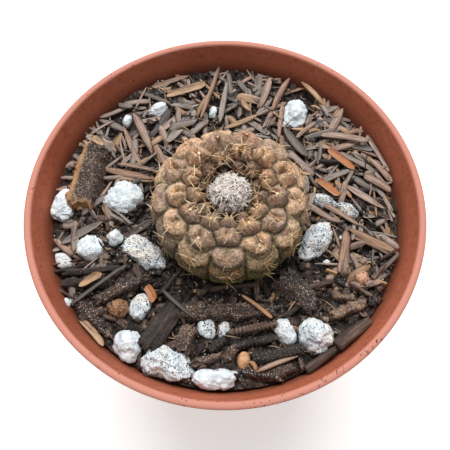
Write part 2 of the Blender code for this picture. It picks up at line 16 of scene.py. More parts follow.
import bpy
import numpy as np
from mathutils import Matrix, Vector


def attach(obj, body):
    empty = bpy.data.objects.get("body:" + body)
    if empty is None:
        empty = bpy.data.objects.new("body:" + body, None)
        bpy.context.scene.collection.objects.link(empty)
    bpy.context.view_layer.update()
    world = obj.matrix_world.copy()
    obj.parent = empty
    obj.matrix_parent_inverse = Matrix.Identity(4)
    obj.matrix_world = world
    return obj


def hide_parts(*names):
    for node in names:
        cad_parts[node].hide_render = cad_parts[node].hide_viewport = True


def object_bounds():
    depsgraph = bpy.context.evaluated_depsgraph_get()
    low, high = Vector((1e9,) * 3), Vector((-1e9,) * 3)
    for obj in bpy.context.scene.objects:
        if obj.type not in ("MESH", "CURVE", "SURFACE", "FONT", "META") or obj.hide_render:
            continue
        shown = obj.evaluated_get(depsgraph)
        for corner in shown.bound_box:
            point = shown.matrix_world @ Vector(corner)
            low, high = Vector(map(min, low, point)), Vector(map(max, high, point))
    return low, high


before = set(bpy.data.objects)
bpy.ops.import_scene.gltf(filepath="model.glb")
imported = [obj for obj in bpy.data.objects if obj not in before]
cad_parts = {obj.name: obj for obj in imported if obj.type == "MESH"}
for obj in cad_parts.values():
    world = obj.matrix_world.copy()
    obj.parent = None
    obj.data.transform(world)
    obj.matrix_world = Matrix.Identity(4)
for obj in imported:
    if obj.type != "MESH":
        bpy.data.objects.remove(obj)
cad_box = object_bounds()

Array = np.ndarray
Draw = np.random.Generator
Span = tuple[float, float]
Colour = tuple[float, float, float]
Stops = tuple[tuple[float, Colour], ...]
Named = Mapping[str | int, object]
Material = bpy.types.Material
Socket = bpy.types.NodeSocket

MM = 0.001
FULL_TURN = 2 * math.pi
BODY = "root"
# Spines and wool stay just below the top of the CAD box.
FIBRE_TOP = cad_box[1][2] - 0.1 * MM
log = logging.getLogger("potted_cactus")


@dataclass(frozen=True)
class PhotoView:
    """The photograph's camera, which also turns places in its picture into places on a level.

    The picture is 450 units wide and high, counted from its top left corner.
    """

    y: float = -42.736 * MM
    z: float = 158.408 * MM
    tilt: float = math.radians(67.9)
    lens: float = 40.0
    sensor: float = 36.0
    middle: float = 225.0

    @property
    def place(self) -> Array:
        """Where the camera stands."""
        return np.array([0, self.y, self.z])

    @property
    def focal(self) -> float:
        """Its focal length in units of the picture."""
        return 2 * self.middle * self.lens / self.sensor

    def on_level(self, across: Array, down: Array, height: Array) -> Array:
        """Finds what the camera sees at places in the picture, on a level.

        The ray is forward + right * (across - middle) / focal + up * (middle - down) / focal, and
        it is followed to the height asked for.

        Args:
            across: Places across the picture.
            down: Places down the picture.
            height: Height of the level for each place.

        Returns:
            The x and y of each place, in two columns.
        """
        right = (np.asarray(across, float) - self.middle) / self.focal
        up = (self.middle - np.asarray(down, float)) / self.focal
        along = math.cos(self.tilt) + up * math.sin(self.tilt)
        rise = -math.sin(self.tilt) + up * math.cos(self.tilt)
        reach = (np.asarray(height, float) - self.z) / rise
        return np.stack([right * reach, self.y + along * reach], -1)

    def spot(self, across: float, down: float, height: float) -> Array:
        """The point of that height that a place in the picture shows."""
        return np.array([*self.on_level(across, down, height), height])

    def in_picture(self, points: Array) -> Array:
        """Finds where the camera sees places of the object.

        A place's run along the camera's right and up axes is divided by its depth and scaled by
        the focal length.

        Args:
            points: The places.

        Returns:
            Across and down the picture, in two columns.
        """
        seen = points - self.place
        depth = seen @ np.array([0, math.cos(self.tilt), -math.sin(self.tilt)])
        up = seen @ np.array([0, math.sin(self.tilt), math.cos(self.tilt)])
        right = self.focal * seen[:, 0] / depth
        return np.stack([self.middle + right, self.middle - self.focal * up / depth], -1)


VIEW = PhotoView()


def value_noise(points: Array, wave: float, seed: int) -> Array:
    """Smooth noise from -1 to 1: random values on a lattice, blended between its corners.

    Args:
        points: Places, one row each.
        wave: Size of a lattice cell.
        seed: Seed of the values.

    Returns:
        One value for each place.
    """
    size = 16
    lattice = np.random.default_rng(seed).uniform(-1, 1, (size, size, size))
    place = np.asarray(points, float) / wave + 100.0
    corner = np.floor(place).astype(int)
    part = place - corner
    ease = part * part * (3 - 2 * part)
    total = np.zeros(len(place))
    for step in np.ndindex(2, 2, 2):
        weight = np.abs(1 - np.array(step) - ease).prod(1)
        index = (corner + step) % size
        total += weight * lattice[index[:, 0], index[:, 1], index[:, 2]]
    return total


def rough_noise(points: Array, wave: float, seed: int, layers: int = 3) -> Array:
    """Value noise in several layers, each with half the wave and half the height of the last.

    Args:
        points: Places, one row each.
        wave: Size of the first layer's cells.
        seed: Seed of the first layer.
        layers: How many layers there are.

    Returns:
        One value for each place.
    """
    return sum(value_noise(points, wave / 2**k, seed + k) / 2**k for k in range(layers))


def cell_noise(points: Array, wave: float, seed: int) -> tuple[Array, Array]:
    """Distance to the nearest of points strewn at random, one to a cell, in cells.

    Args:
        points: Places, one row each.
        wave: Size of a cell.
        seed: Seed of the strewn points.

    Returns:
        The distance for each place, and a number from 0 to 1 that belongs to the nearest point.
    """
    size = 16
    draw = np.random.default_rng(seed)
    spots = draw.uniform(0, 1, (size, size, size, 3))
    tags = draw.uniform(0, 1, (size, size, size))
    place = np.asarray(points, float) / wave + 100.0
    corner = np.floor(place).astype(int)
    nearest = np.full(len(place), 9.0)
    tag = np.zeros(len(place))
    for step in np.ndindex(3, 3, 3):
        cell = corner + np.array(step) - 1
        x, y, z = (cell % size).T
        gap = np.linalg.norm(place - cell - spots[x, y, z], axis=1)
        tag = np.where(gap < nearest, tags[x, y, z], tag)
        nearest = np.minimum(nearest, gap)
    return nearest, tag


def blend(low: float, high: float, value: Array) -> Array:
    """Goes smoothly from 0 at low to 1 at high, as part * part * (3 - 2 * part)."""
    part = np.clip((np.asarray(value, float) - low) / (high - low), 0, 1)
    return part * part * (3 - 2 * part)


@dataclass
class Surface:
    """A closed surface as arrays.

    Attributes:
        points: Its points, one row each.
        quads: Corner numbers of its four-sided faces.
        tris: Corner numbers of its three-sided faces.
        marks: Values on its points that a finish reads, by name, in one or three columns.
    """

    points: Array
    quads: Array
    tris: Array
    marks: dict[str, Array] = field(default_factory=dict)

    def volume(self) -> float:
        """Six times the volume, with a minus where the faces point inwards."""
        corners = self.points[np.concatenate([self.tris, self.quads[:, :3], self.quads[:, [0, 2, 3]]])]
        return float(np.linalg.det(corners).sum())

    def piece(self, name: str, finish: Material, slot: str, *nodes: str) -> bpy.types.Object:
        """Makes the surface a piece of the object, which rides on its one body.

        Args:
            name: Name of the piece.
            finish: Its material.
            slot: The record's material slot, which is not used.
            nodes: CAD nodes that the piece stands for.

        Returns:
            The new object.
        """
        outwards = 1 if self.volume() > 0 else -1
        faces = self.quads[:, ::outwards].tolist() + self.tris[:, ::outwards].tolist()
        mesh = bpy.data.meshes.new(name)
        mesh.from_pydata(self.points.tolist(), [], faces)
        for mark, values in self.marks.items():
            kind = "FLOAT" if values.ndim == 1 else "FLOAT_VECTOR"
            layer = mesh.attributes.new(mark, kind, "POINT")
            layer.data.foreach_set("value" if values.ndim == 1 else "vector", values.ravel())
        mesh.shade_smooth()
        mesh.materials.append(finish)
        obj = new_object(name, mesh)
        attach(obj, BODY)
        if nodes:
            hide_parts(*nodes)
        log.info("%s: %d faces", name, len(faces))
        return obj


def joined(surfaces: list[Surface]) -> Surface:
    """Joins surfaces into one: the corner numbers of each are moved on past the points before it."""
    starts = np.cumsum([0] + [len(surface.points) for surface in surfaces[:-1]])
    return Surface(
        np.concatenate([surface.points for surface in surfaces]),
        np.concatenate([surface.quads + start for surface, start in zip(surfaces, starts)]),
        np.concatenate([surface.tris + start for surface, start in zip(surfaces, starts)]),
        {mark: np.concatenate([surface.marks[mark] for surface in surfaces]) for mark in surfaces[0].marks},
    )


@dataclass(frozen=True)
class ClosedGrid:
    """A grid of rings between two poles, on which every closed shape here is drawn."""

    rings: int
    sides: int

    @property
    def share(self) -> Array:
        """Share of the way from the first pole to the last, for each point."""
        inner = np.repeat(np.arange(1, self.rings + 1) / (self.rings + 1), self.sides)
        return np.concatenate([[0.0], inner, [1.0]])

    @property
    def angle(self) -> Array:
        """Angle of each point round its ring."""
        inner = np.tile(np.arange(self.sides) * FULL_TURN / self.sides, self.rings)
        return np.concatenate([[0.0], inner, [0.0]])

    def faces(self, copies: int = 1) -> tuple[Array, Array]:
        """Corner numbers of the quads between rings and of the triangles at the poles.

        Args:
            copies: How many grids follow each other in the list of points.

        Returns:
            The quads and the triangles.
        """
        ring = np.arange(self.rings - 1)[:, None] * self.sides + 1
        side = np.arange(self.sides)
        after = (side + 1) % self.sides
        low, high = ring, ring + self.sides
        quads = np.stack([low + side, low + after, high + after, high + side], -1).reshape(-1, 4)
        last = self.rings * self.sides + 1
        final = last - self.sides
        first_fan = np.stack([np.zeros_like(side), 1 + after, 1 + side], -1)
        last_fan = np.stack([np.full_like(side, last), final + side, final + after], -1)
        tris = np.concatenate([first_fan, last_fan])
        shift = np.arange(copies)[:, None, None] * (last + 1)
        return (quads + shift).reshape(-1, 4), (tris + shift).reshape(-1, 3)

    def directions(self) -> Array:
        """Points of a ball of radius one: the share runs from its top to its bottom."""
        polar = self.share * math.pi
        flat = np.sin(polar)
        return np.stack([flat * np.cos(self.angle), flat * np.sin(self.angle), np.cos(polar)], -1)


def frames_from_angles(roll: Array, pitch: Array, turn: Array) -> Array:
    """Turning matrices for a roll about x, then a pitch that lifts the +x end, then a turn about z.

    Args:
        roll: Roll of each copy.
        pitch: Pitch of each copy.
        turn: Turn of each copy.

    Returns:
        One matrix a copy, whose columns are its own x, y and z.
    """
    cr, sr = np.cos(roll), np.sin(roll)
    cp, sp = np.cos(pitch), np.sin(pitch)
    ct, st = np.cos(turn), np.sin(turn)
    own_x = np.stack([ct * cp, st * cp, sp], -1)
    own_y = np.stack([-st * cr - ct * sp * sr, ct * cr - st * sp * sr, cp * sr], -1)
    own_z = np.cross(own_x, own_y)
    return np.stack([own_x, own_y, own_z], -1)


def frames_along(direction: Array) -> Array:
    """Turning matrices whose x points along the directions given, with y level.

    Args:
        direction: A direction for each copy.

    Returns:
        One matrix a copy, whose columns are its own x, y and z.
    """
    own_x = direction / np.linalg.norm(direction, axis=1, keepdims=True)
    level = np.cross([0.0, 0.0, 1.0], own_x)
    level = np.where(np.linalg.norm(level, axis=1, keepdims=True) < 1e-6, [0.0, 1.0, 0.0], level)
    own_y = level / np.linalg.norm(level, axis=1, keepdims=True)
    return np.stack([own_x, own_y, np.cross(own_x, own_y)], -1)


def strewn(shapes: Array, frames: Array, places: Array) -> Array:
    """Turns each shape by its frame and moves it to its place.

    Args:
        shapes: Points of each copy in its own axes.
        frames: A turning matrix for each copy.
        places: A place for each copy.

    Returns:
        All points, copy after copy.
    """
    moved = np.einsum("nij,nkj->nki", frames, shapes) + places[:, None]
    return moved.reshape(-1, 3)


def stood(shape: Array, place: Array, turn: float, tilt: float = 0.0) -> Array:
    """Stands one shape at its place, turned about z, and rolled and dipped by the same tilt."""
    roll, pitch, turn = np.array([[tilt], [-tilt], [turn]])
    return strewn(shape[None], frames_from_angles(roll, pitch, turn), np.array([place]))


def per_point(values: Array, count: int) -> Array:
    """Repeats a value of each copy for all the points of that copy."""
    return np.repeat(values, count, axis=0)


def new_object(name: str, data: bpy.types.ID) -> bpy.types.Object:
    """Puts a mesh, a lamp or a camera into the scene as an object of that name."""
    obj = bpy.data.objects.new(name, data)
    bpy.context.scene.collection.objects.link(obj)
    return obj


def linear(red: float, green: float, blue: float) -> tuple[float, float, float, float]:
    """Turns a colour as shown, from 0 to 255, into the linear colour that a shader takes."""
    shown = np.array([red, green, blue]) / 255
    value = np.where(shown <= 0.04045, shown / 12.92, ((shown + 0.055) / 1.055) ** 2.4)
    return (float(value[0]), float(value[1]), float(value[2]), 1.0)


class Value:
    """What a node gives at each point. +, -, * and |, the greater of two, turn it into new nodes."""

    def __init__(self, kit: "NodeKit", socket: Socket) -> None:
        self.kit = kit
        self.socket = socket

    def __add__(self, other: "Value | float") -> "Value":
        """The sum."""
        return self.kit.reckon("ADD", self, other)

    def __sub__(self, other: "Value | float") -> "Value":
        """The difference."""
        return self.kit.reckon("SUBTRACT", self, other)

    def __rsub__(self, other: float) -> "Value":
        """A plain number less this value."""
        return self.kit.reckon("SUBTRACT", other, self)

    def __mul__(self, other: "Value | float") -> "Value":
        """The product."""
        return self.kit.reckon("MULTIPLY", self, other)

    def __or__(self, other: "Value") -> "Value":
        """The greater of the two."""
        return self.kit.reckon("MAXIMUM", self, other)

    __radd__ = __add__
    __rmul__ = __mul__


class NodeKit:
    """Puts one material together from nodes, around its Principled shader."""

    def __init__(self, name: str, roughness: float) -> None:
        """Starts a material of that name, equally rough all over."""
        self.material = bpy.data.materials.new(name)
        self.material.use_nodes = True
        self.tree = self.material.node_tree
        self.shader = self.tree.nodes["Principled BSDF"]
        self.shader.inputs["Roughness"].default_value = roughness
        self.place = self.node("TexCoord", "Object")

    def put(self, socket: Socket, value: object) -> None:
        """Links a node's value to an input, or sets a plain one there."""
        if isinstance(value, Value):
            self.tree.links.new(value.socket, socket)
        else:
            socket.default_value = value

    def node(
        self, kind: str, output: str | int, settings: Named | None = None, inputs: Named | None = None,
    ) -> Value:
        """Adds one node.

        Args:
            kind: Blender's name for it, without the start that all shader nodes share.
            output: Name or number of the output wanted.
            settings: Settings, by name.
            inputs: Values of its inputs, by their name or number.

        Returns:
            What the node gives.
        """
        node = self.tree.nodes.new("ShaderNode" + kind)
        for name, setting in (settings or {}).items():
            setattr(node, name, setting)
        for name, value in (inputs or {}).items():
            self.put(node.inputs[name], value)
        return Value(self, node.outputs[output])

    def mark(self, name: str, vector: bool = False) -> Value:
        """Reads a value that the mesh carries on its points."""
        return self.node("Attribute", "Vector" if vector else "Fac", {"attribute_name": name})

    def scaled(self, source: Value, scale: Colour) -> Value:
        """Stretches a pattern's coordinates along its three axes."""
        return self.node("Mapping", "Vector", inputs={"Vector": source, "Scale": scale})

    def noise(
        self, wave: float, source: Value | None = None, detail: float = 3.0, rough: float = 0.55,
    ) -> Value:
        """Smooth noise from 0 to 1.

        Args:
            wave: Size of its largest features, in the unit of the source.
            source: Coordinates, or None for the object's own.
            detail: Number of finer layers.
            rough: Strength of the finer layers.

        Returns:
            The noise.
        """
        inputs = {"Vector": source or self.place, "Scale": 1 / wave, "Detail": detail, "Roughness": rough}
        return self.node("TexNoise", "Fac", inputs=inputs)

    def cells(self, wave: float, source: Value | None = None) -> Value:
        """Distance to the nearest of strewn points, in cells of the size given."""
        return self.node("TexVoronoi", "Distance", inputs={"Vector": source or self.place, "Scale": 1 / wave})

    def reckon(self, kind: str, first: object, second: object, clamp: bool = False) -> Value:
        """One step of arithmetic on two values."""
        return self.node("Math", 0, {"operation": kind, "use_clamp": clamp}, {0: first, 1: second})

    def window(self, value: Value, low: float, high: float) -> Value:
        """Goes from 0 where the value is low to 1 where it is high."""
        inputs = {"Value": value, "From Min": low, "From Max": high}
        return self.node("MapRange", "Result", {"interpolation_type": "SMOOTHSTEP"}, inputs)

    def near(self, place: Array, reach: float) -> Value:
        """Goes from 1 at a place on the piece to 0 at the distance given."""
        inputs = {0: self.place, 1: tuple(place)}
        return self.window(self.node("VectorMath", "Value", {"operation": "DISTANCE"}, inputs), reach, 0.0)

    def ramp(self, factor: Value, stops: Stops) -> Value:
        """Colours a value by stops of place and colour."""
        coloured = self.node("ValToRGB", "Color", inputs={"Fac": factor})
        elements = coloured.socket.node.color_ramp.elements
        while len(elements) < len(stops):
            elements.new(1.0)
        for element, (place, colour) in zip(elements, stops):
            element.position = place
            element.color = linear(*colour)
        return coloured

    def mix(self, factor: object, first: object, second: object, kind: str = "MIX") -> Value:
        """Blends two colours.

        Args:
            factor: How much of the second shows.
            first: The first colour.
            second: The second colour.
            kind: Blender's name for the way of blending.

        Returns:
            The blended colour.
        """
        first, second = (item if isinstance(item, Value) else linear(*item) for item in (first, second))
        inputs = {0: factor, 6: first, 7: second}
        return self.node("Mix", 2, {"data_type": "RGBA", "blend_type": kind}, inputs)

    def done(self, colour: Value, height: Value | None = None, depth: float = 0.0) -> Material:
        """Finishes the material.

        Args:
            colour: Its colour.
            height: Its relief, or None.
            depth: Depth of the relief in metres.

        Returns:
            The material.
        """
        self.put(self.shader.inputs["Base Color"], colour)
        if height is not None:
            bump = self.node("Bump", "Normal", inputs={"Distance": depth, "Strength": 1.0, "Height": height})
            self.put(self.shader.inputs["Normal"], bump)
        return self.material


@dataclass(frozen=True)
class PotPlastic:
    """Terracotta-coloured moulded plastic: mottled, specked and scuffed, with painted shade down the inner
    wall towards the mix and on the lower left, and a painted sky reflection on the rim's top.
    """

    light: Colour = (196, 115, 86)
    deep: Colour = (172, 94, 68)
    streak: Colour = (196, 124, 98)
    shade: Stops = ((0.3, (214, 204, 200)), (0.52, (255, 255, 255)))
    # Painted shade that darkens the inner wall down towards the mix.
    low_wall_shade: Colour = (104, 58, 42)
    # Paler pink for the rim's top: a painted sky reflection.
    rim: Colour = (206, 138, 120)
    dust: Colour = (74, 40, 34)
    roughness: float = 0.58
    gloss: float = 0.22
    # Painted shade on the lower left of the pot, round a place in the picture.
    low_left_shade: Colour = (120, 66, 50)
    low_left_shade_place: tuple[float, float] = (78, 330)
    low_left_shade_reach: float = 24 * MM
    front_reach: float = 38 * MM
    scuffs: tuple[tuple[float, float], ...] = ((378, 340), (372, 348), (326, 379), (341, 370))
    scuff_reach: float = 2.4 * MM

    def make(self, rim_height: float) -> Material:
        """Builds the finish, which reads the marks named rim and wall.

        Args:
            rim_height: Height of the rim, where the scuffs lie.

        Returns:
            The material.
        """
        kit = NodeKit("terracotta_plastic", self.roughness)
        kit.shader.inputs["Specular IOR Level"].default_value = self.gloss
        streak = kit.noise(1.0, kit.scaled(kit.place, (260, 260, 1900)), detail=2)
        base = kit.mix(kit.noise(9 * MM, detail=5), self.deep, self.light)
        base = kit.mix(kit.window(streak, 0.56, 0.8) * 0.6, base, self.streak)
        mottle = kit.noise(1.2 * MM, detail=4, rough=0.7)
        base = kit.mix(0.8, base, kit.ramp(mottle, self.shade), "MULTIPLY")
        # Painted shade: the inner wall darkens down towards the mix.
        depth = kit.mark("wall") + (mottle - 0.5) * 0.5
        base = kit.mix(kit.window(depth, 0.36, 0.72) * 0.6, base, self.low_wall_shade)
        # Painted shade: a darker patch on the lower left of the pot.
        low_left_shade_mask = kit.near(VIEW.spot(*self.low_left_shade_place, rim_height), self.low_left_shade_reach)
        base = kit.mix(low_left_shade_mask * 0.35, base, self.low_left_shade)
        # Painted sky reflection: the rim's top is paler.
        base = kit.mix(kit.mark("rim"), base, self.rim)
        here_and_there = kit.window(kit.noise(3 * MM), 0.56, 0.64)
        speck = kit.window(kit.cells(1.3 * MM), 0.2, 0.12) * here_and_there
        in_front = kit.near(np.array([0, -self.front_reach, rim_height]), self.front_reach)
        clouds = kit.noise(1.6 * MM) + in_front * 0.12 + kit.mark("wall") * 0.08
        fine = kit.window(kit.cells(0.6 * MM), 0.3, 0.14) * kit.window(clouds, 0.57, 0.63)
        marks = (speck | fine) * 0.8
        scratch = kit.window(kit.noise(1.0, kit.scaled(kit.place, (3400, 900, 900)), detail=1), 0.6, 0.68)
        for across, down in self.scuffs:
            marks = marks | kit.near(VIEW.spot(across, down, rim_height), self.scuff_reach) * scratch
        return kit.done(kit.mix(marks, base, self.dust), kit.noise(0.5 * MM, detail=2), 0.02 * MM)


@dataclass(frozen=True)
class SoilCrumb:
    """Damp dark crumb, whose grains run from near black to brown, with a few pale glints."""

    stops: Stops = (
        (0.0, (18, 14, 13)), (0.35, (44, 34, 30)), (0.6, (78, 62, 52)), (0.8, (122, 98, 80)),
        (1.0, (200, 170, 130)),
    )
    glint: Colour = (206, 196, 184)
    roughness: float = 0.85

    def make(self) -> Material:
        """Builds the finish, which reads the mark named tone."""
        kit = NodeKit("potting_mix", self.roughness)
        grain = kit.noise(0.35 * MM, detail=3)
        base = kit.ramp(kit.mark("tone") + (grain - 0.5) * 0.9, self.stops)
        spot = kit.window(kit.cells(0.42 * MM), 0.26, 0.12)
        chosen = kit.window(kit.noise(1.0 * MM, detail=1), 0.55, 0.62)
        return kit.done(kit.mix(spot * chosen, base, self.glint), grain, 0.12 * MM)


@dataclass(frozen=True)
class BarkSkin:
    """Bark with its own grain, from grey black through red brown to tan, and rust on broken edges."""

    stops: Stops = (
        (0.0, (22, 20, 20)), (0.3, (58, 48, 44)), (0.5, (94, 73, 62)), (0.7, (132, 112, 98)),
        (1.0, (186, 152, 112)),
    )
    rust: Colour = (188, 142, 98)
    glint: Colour = (222, 212, 200)
    warm_glint: Colour = (196, 142, 96)
    roughness: float = 0.78

    def make(self) -> Material:
        """Builds the finish, which reads the marks named grain, tone, rust and crumbly."""
        kit = NodeKit("bark", self.roughness)
        grain = kit.mark("grain", vector=True)
        crumbly = kit.mark("crumbly")
        fibre = kit.noise(1.0, kit.scaled(grain, (0.16, 2.6, 2.6)), detail=4)
        speck = kit.noise(0.5, grain, detail=6, rough=0.75)
        pattern = fibre * (1.0 - crumbly) + speck * crumbly
        base = kit.ramp(kit.mark("tone") + (pattern - 0.5) * (1.0 + crumbly * 0.9), self.stops)
        base = kit.mix(kit.mark("rust") * kit.window(speck, 0.28, 0.46), base, self.rust)
        warm = kit.window(kit.cells(0.5, grain), 0.34, 0.16) * kit.window(speck, 0.46, 0.56)
        base = kit.mix(warm * (crumbly * 0.7), base, self.warm_glint)
        pale = kit.window(kit.cells(0.36, grain), 0.36, 0.16) * kit.window(fibre, 0.46, 0.52)
        base = kit.mix(pale * (crumbly * 0.85), base, self.glint)
        return kit.done(base, pattern, 0.26 * MM)


@dataclass(frozen=True)
class HullSkin:
    """Rice hulls, fibrous lengthwise, from dark grey through grey brown and tan to orange, with painted
    shadow along one edge and painted highlight along the other.
    """

    stops: Stops = (
        (0.0, (56, 50, 49)), (0.2, (106, 100, 98)), (0.4, (158, 149, 142)), (0.58, (180, 154, 140)),
        (0.72, (166, 126, 102)), (0.84, (196, 162, 122)), (0.93, (196, 148, 106)), (1.0, (190, 114, 56)),
    )
    shade: Stops = ((0.3, (82, 74, 70)), (0.46, (206, 198, 192)), (0.6, (255, 255, 255)))
    blotch: Colour = (70, 56, 48)
    # Painted shadow along one edge of a hull, and painted highlight along the other.
    edge_shadow: Colour = (46, 34, 29)
    edge_highlight: Colour = (222, 196, 172)
    roughness: float = 0.6

    def make(self) -> Material:
        """Builds the finish, which reads the marks named grain, tone and edge."""
        kit = NodeKit("rice_hull", self.roughness)
        grain = kit.mark("grain", vector=True)
        fibre = kit.noise(1.0, kit.scaled(grain, (0.22, 3.4, 3.4)), detail=3)
        base = kit.mix(0.85, kit.ramp(kit.mark("tone"), self.stops), kit.ramp(fibre, self.shade), "MULTIPLY")
        blotch = kit.noise(1.6, grain, detail=3)
        base = kit.mix(kit.window(blotch, 0.54, 0.7) * 0.4, base, self.blotch)
        # Painted shadow where the edge mark is above 0, painted highlight where it is below.
        edge = kit.mark("edge")
        base = kit.mix(edge * 0.65, base, self.edge_shadow)
        base = kit.mix(edge * -0.45, base, self.edge_highlight)
        return kit.done(base, fibre, 0.09 * MM)


@dataclass(frozen=True)
class PerliteSkin:
    """White expanded mineral: bright, finely pitted, with bluish grey patches of painted shade and a little
    soil dust.
    """

    bright: Colour = (240, 248, 252)
    # Bluish grey of painted shade, laid where a noise is low.
    mottled_shade: Colour = (210, 220, 226)
    cream: Colour = (240, 230, 216)
    pit: Colour = (22, 22, 24)
    dust: Colour = (150, 138, 128)
    roughness: float = 0.9

    def make(self) -> Material:
        """Builds the finish, which reads the marks named pit, pocked and low."""
        kit = NodeKit("perlite", self.roughness)
        cloud = kit.noise(1.6 * MM, detail=4)
        # Painted shade: bluish grey patches where the noise is low.
        base = kit.mix(kit.window(cloud, 0.62, 0.36), self.bright, self.mottled_shade)
        pocked = kit.mark("pocked")
        warm = kit.window(kit.noise(3.2 * MM, detail=2), 0.48, 0.62) * pocked
        base = kit.mix(warm * 0.8, base, self.cream)
        many = kit.noise(1.3 * MM) + pocked * 0.2
        coarse = kit.window(kit.cells(0.56 * MM), 0.32, 0.2) * kit.window(many, 0.66, 0.72)
        dots = kit.window(kit.cells(0.28 * MM), 0.34, 0.22) * kit.window(many, 0.56, 0.64)
        pits = kit.mark("pit") | (coarse | dots) * kit.reckon("ADD", 0.25, pocked, clamp=True)
        base = kit.mix(pits, base, self.pit)
        base = kit.mix(kit.mark("low") * 0.7, base, self.dust)
        return kit.done(base, kit.noise(0.5 * MM, detail=4) - pits * 0.6, 0.3 * MM)


@dataclass(frozen=True)
class PrillSkin:
    """Coated feed grain: tan, rough, with darker scurf."""

    light: Colour = (222, 172, 124)
    pink: Colour = (208, 160, 134)
    deep: Colour = (140, 100, 66)
    scurf: Colour = (84, 60, 46)
    roughness: float = 0.55

    def make(self) -> Material:
        """Builds the finish, which reads the marks named tone, blush and scurf."""
        kit = NodeKit("feed_prill", self.roughness)
        cloud = kit.noise(0.9 * MM, detail=4)
        base = kit.mix(cloud * kit.mark("tone"), self.deep, self.light)
        base = kit.mix(kit.mark("blush"), base, self.pink)
        flake = kit.window(kit.noise(0.5 * MM, detail=3), 0.5, 0.62) * kit.mark("scurf")
        return kit.done(kit.mix(flake, base, self.scurf), cloud, 0.1 * MM)


@dataclass(frozen=True)
class CactusSkin:
    """Matt skin: pink brown on top, olive below, rusty or mauve on some plates, with painted shade in the
    creases, round the bud and on the front, and painted highlight on the tubercles' middles.
    """

    top: Colour = (236, 199, 166)
    flank: Colour = (146, 134, 92)
    foot: Colour = (102, 106, 64)
    green: Colour = (140, 160, 74)
    rust: Colour = (212, 128, 84)
    mauve: Colour = (152, 130, 124)
    dot: Colour = (250, 228, 186)
    shade: Stops = ((0.32, (92, 78, 68)), (0.46, (206, 196, 186)), (0.56, (255, 255, 252)))
    # Colour of the painted shade in the creases, also laid on random darker blots.
    crease: Colour = (34, 22, 18)
    # Painted shade in the crown's dip round the bud.
    crown: Colour = (62, 40, 32)
    roughness: float = 0.6

    def make(self) -> Material:
        """Builds the finish, which reads the marks level, crease, crown, rust, mauve and green."""
        kit = NodeKit("cactus_skin", self.roughness)
        cloud = kit.noise(1.3 * MM, detail=5, rough=0.65)
        fine = kit.noise(0.42 * MM, detail=5, rough=0.7)
        level = kit.mark("level") + (cloud - 0.5) * 1.1
        base = kit.ramp(level, ((0.0, self.foot), (0.5, self.flank), (0.95, self.top)))
        base = kit.mix(kit.mark("mauve") * cloud, base, self.mauve)
        base = kit.mix(kit.mark("rust") * kit.window(cloud, 0.3, 0.6), base, self.rust)
        base = kit.mix(kit.mark("green"), base, self.green)
        # Painted shade in the crown's dip round the bud.
        base = kit.mix(kit.mark("crown") * 0.88, base, self.crown)
        dots = kit.window(kit.cells(0.5 * MM), 0.34, 0.16) * kit.window(fine, 0.46, 0.54)
        base = kit.mix(dots * 0.8, base, self.dot)
        base = kit.mix(0.85, base, kit.ramp(fine, self.shade), "MULTIPLY")
        # Painted shade from the crease mark, with random darker blots added to it.
        blots = kit.window(cloud, 0.42, 0.3) * 0.35
        crease = kit.reckon("ADD", kit.mark("crease"), blots, clamp=True)
        base = kit.mix(crease * 0.96, base, self.crease)
        return kit.done(base, cloud + fine * 0.7, 0.22 * MM)


@dataclass(frozen=True)
class FibreSkin:
    """Spines, wool and hairs: a colour along the fibre, set by a mark."""

    name: str
    stops: Stops
    roughness: float = 0.5

    def make(self) -> Material:
        """Builds the finish, which reads the mark named tone."""
        kit = NodeKit(self.name, self.roughness)
        wave = (kit.noise(0.4 * MM) - 0.5) * 0.3
        return kit.done(kit.ramp(kit.mark("tone") + wave, self.stops))


SPINE_SKIN = FibreSkin(
    "spine",
    ((0.0, (158, 106, 64)), (0.35, (218, 172, 118)), (0.7, (244, 216, 168)), (1.0, (255, 248, 228))),
    0.42,
)
AREOLE_SKIN = FibreSkin(
    "areole_felt",
    ((0.0, (152, 104, 62)), (0.5, (214, 176, 120)), (1.0, (255, 248, 222))),
    0.9,
)
WOOL_SKIN = FibreSkin(
    "bud_wool",
    ((0.0, (44, 32, 32)), (0.25, (124, 106, 104)), (0.55, (218, 204, 196)), (1.0, (255, 250, 244))),
    0.85,
)
DEBRIS_SKIN = FibreSkin(
    "crown_debris",
    ((0.0, (40, 24, 18)), (0.5, (116, 70, 44)), (1.0, (206, 156, 100))),
    0.7,
)


def fillet(corners: Array, reach: float, steps: int = 5) -> Array:
    """Rounds the corners of a profile with quadratic curves.

    Near corner B between A and C, the curve is (1-t)^2 P + 2t(1-t) B + t^2 Q, where P and Q lie on
    the two sides at the reach from B, or at 0.45 of a shorter side.

    Args:
        corners: Corners of the profile; the first and the last stay sharp.
        reach: How far from a corner its curve starts.
        steps: Points on each curve.

    Returns:
        The rounded profile.
    """
    before, here, after = corners[:-2], corners[1:-1], corners[2:]
    back, ahead = before - here, after - here
    back_length = np.linalg.norm(back, axis=1, keepdims=True)
    ahead_length = np.linalg.norm(ahead, axis=1, keepdims=True)
    start = here + back * np.minimum(reach / back_length, 0.45)
    end = here + ahead * np.minimum(reach / ahead_length, 0.45)
    t = np.linspace(0, 1, steps)[None, :, None]
    curve = (1 - t) ** 2 * start[:, None] + 2 * t * (1 - t) * here[:, None] + t**2 * end[:, None]
    return np.concatenate([corners[:1], curve.reshape(-1, 2), corners[-1:]])


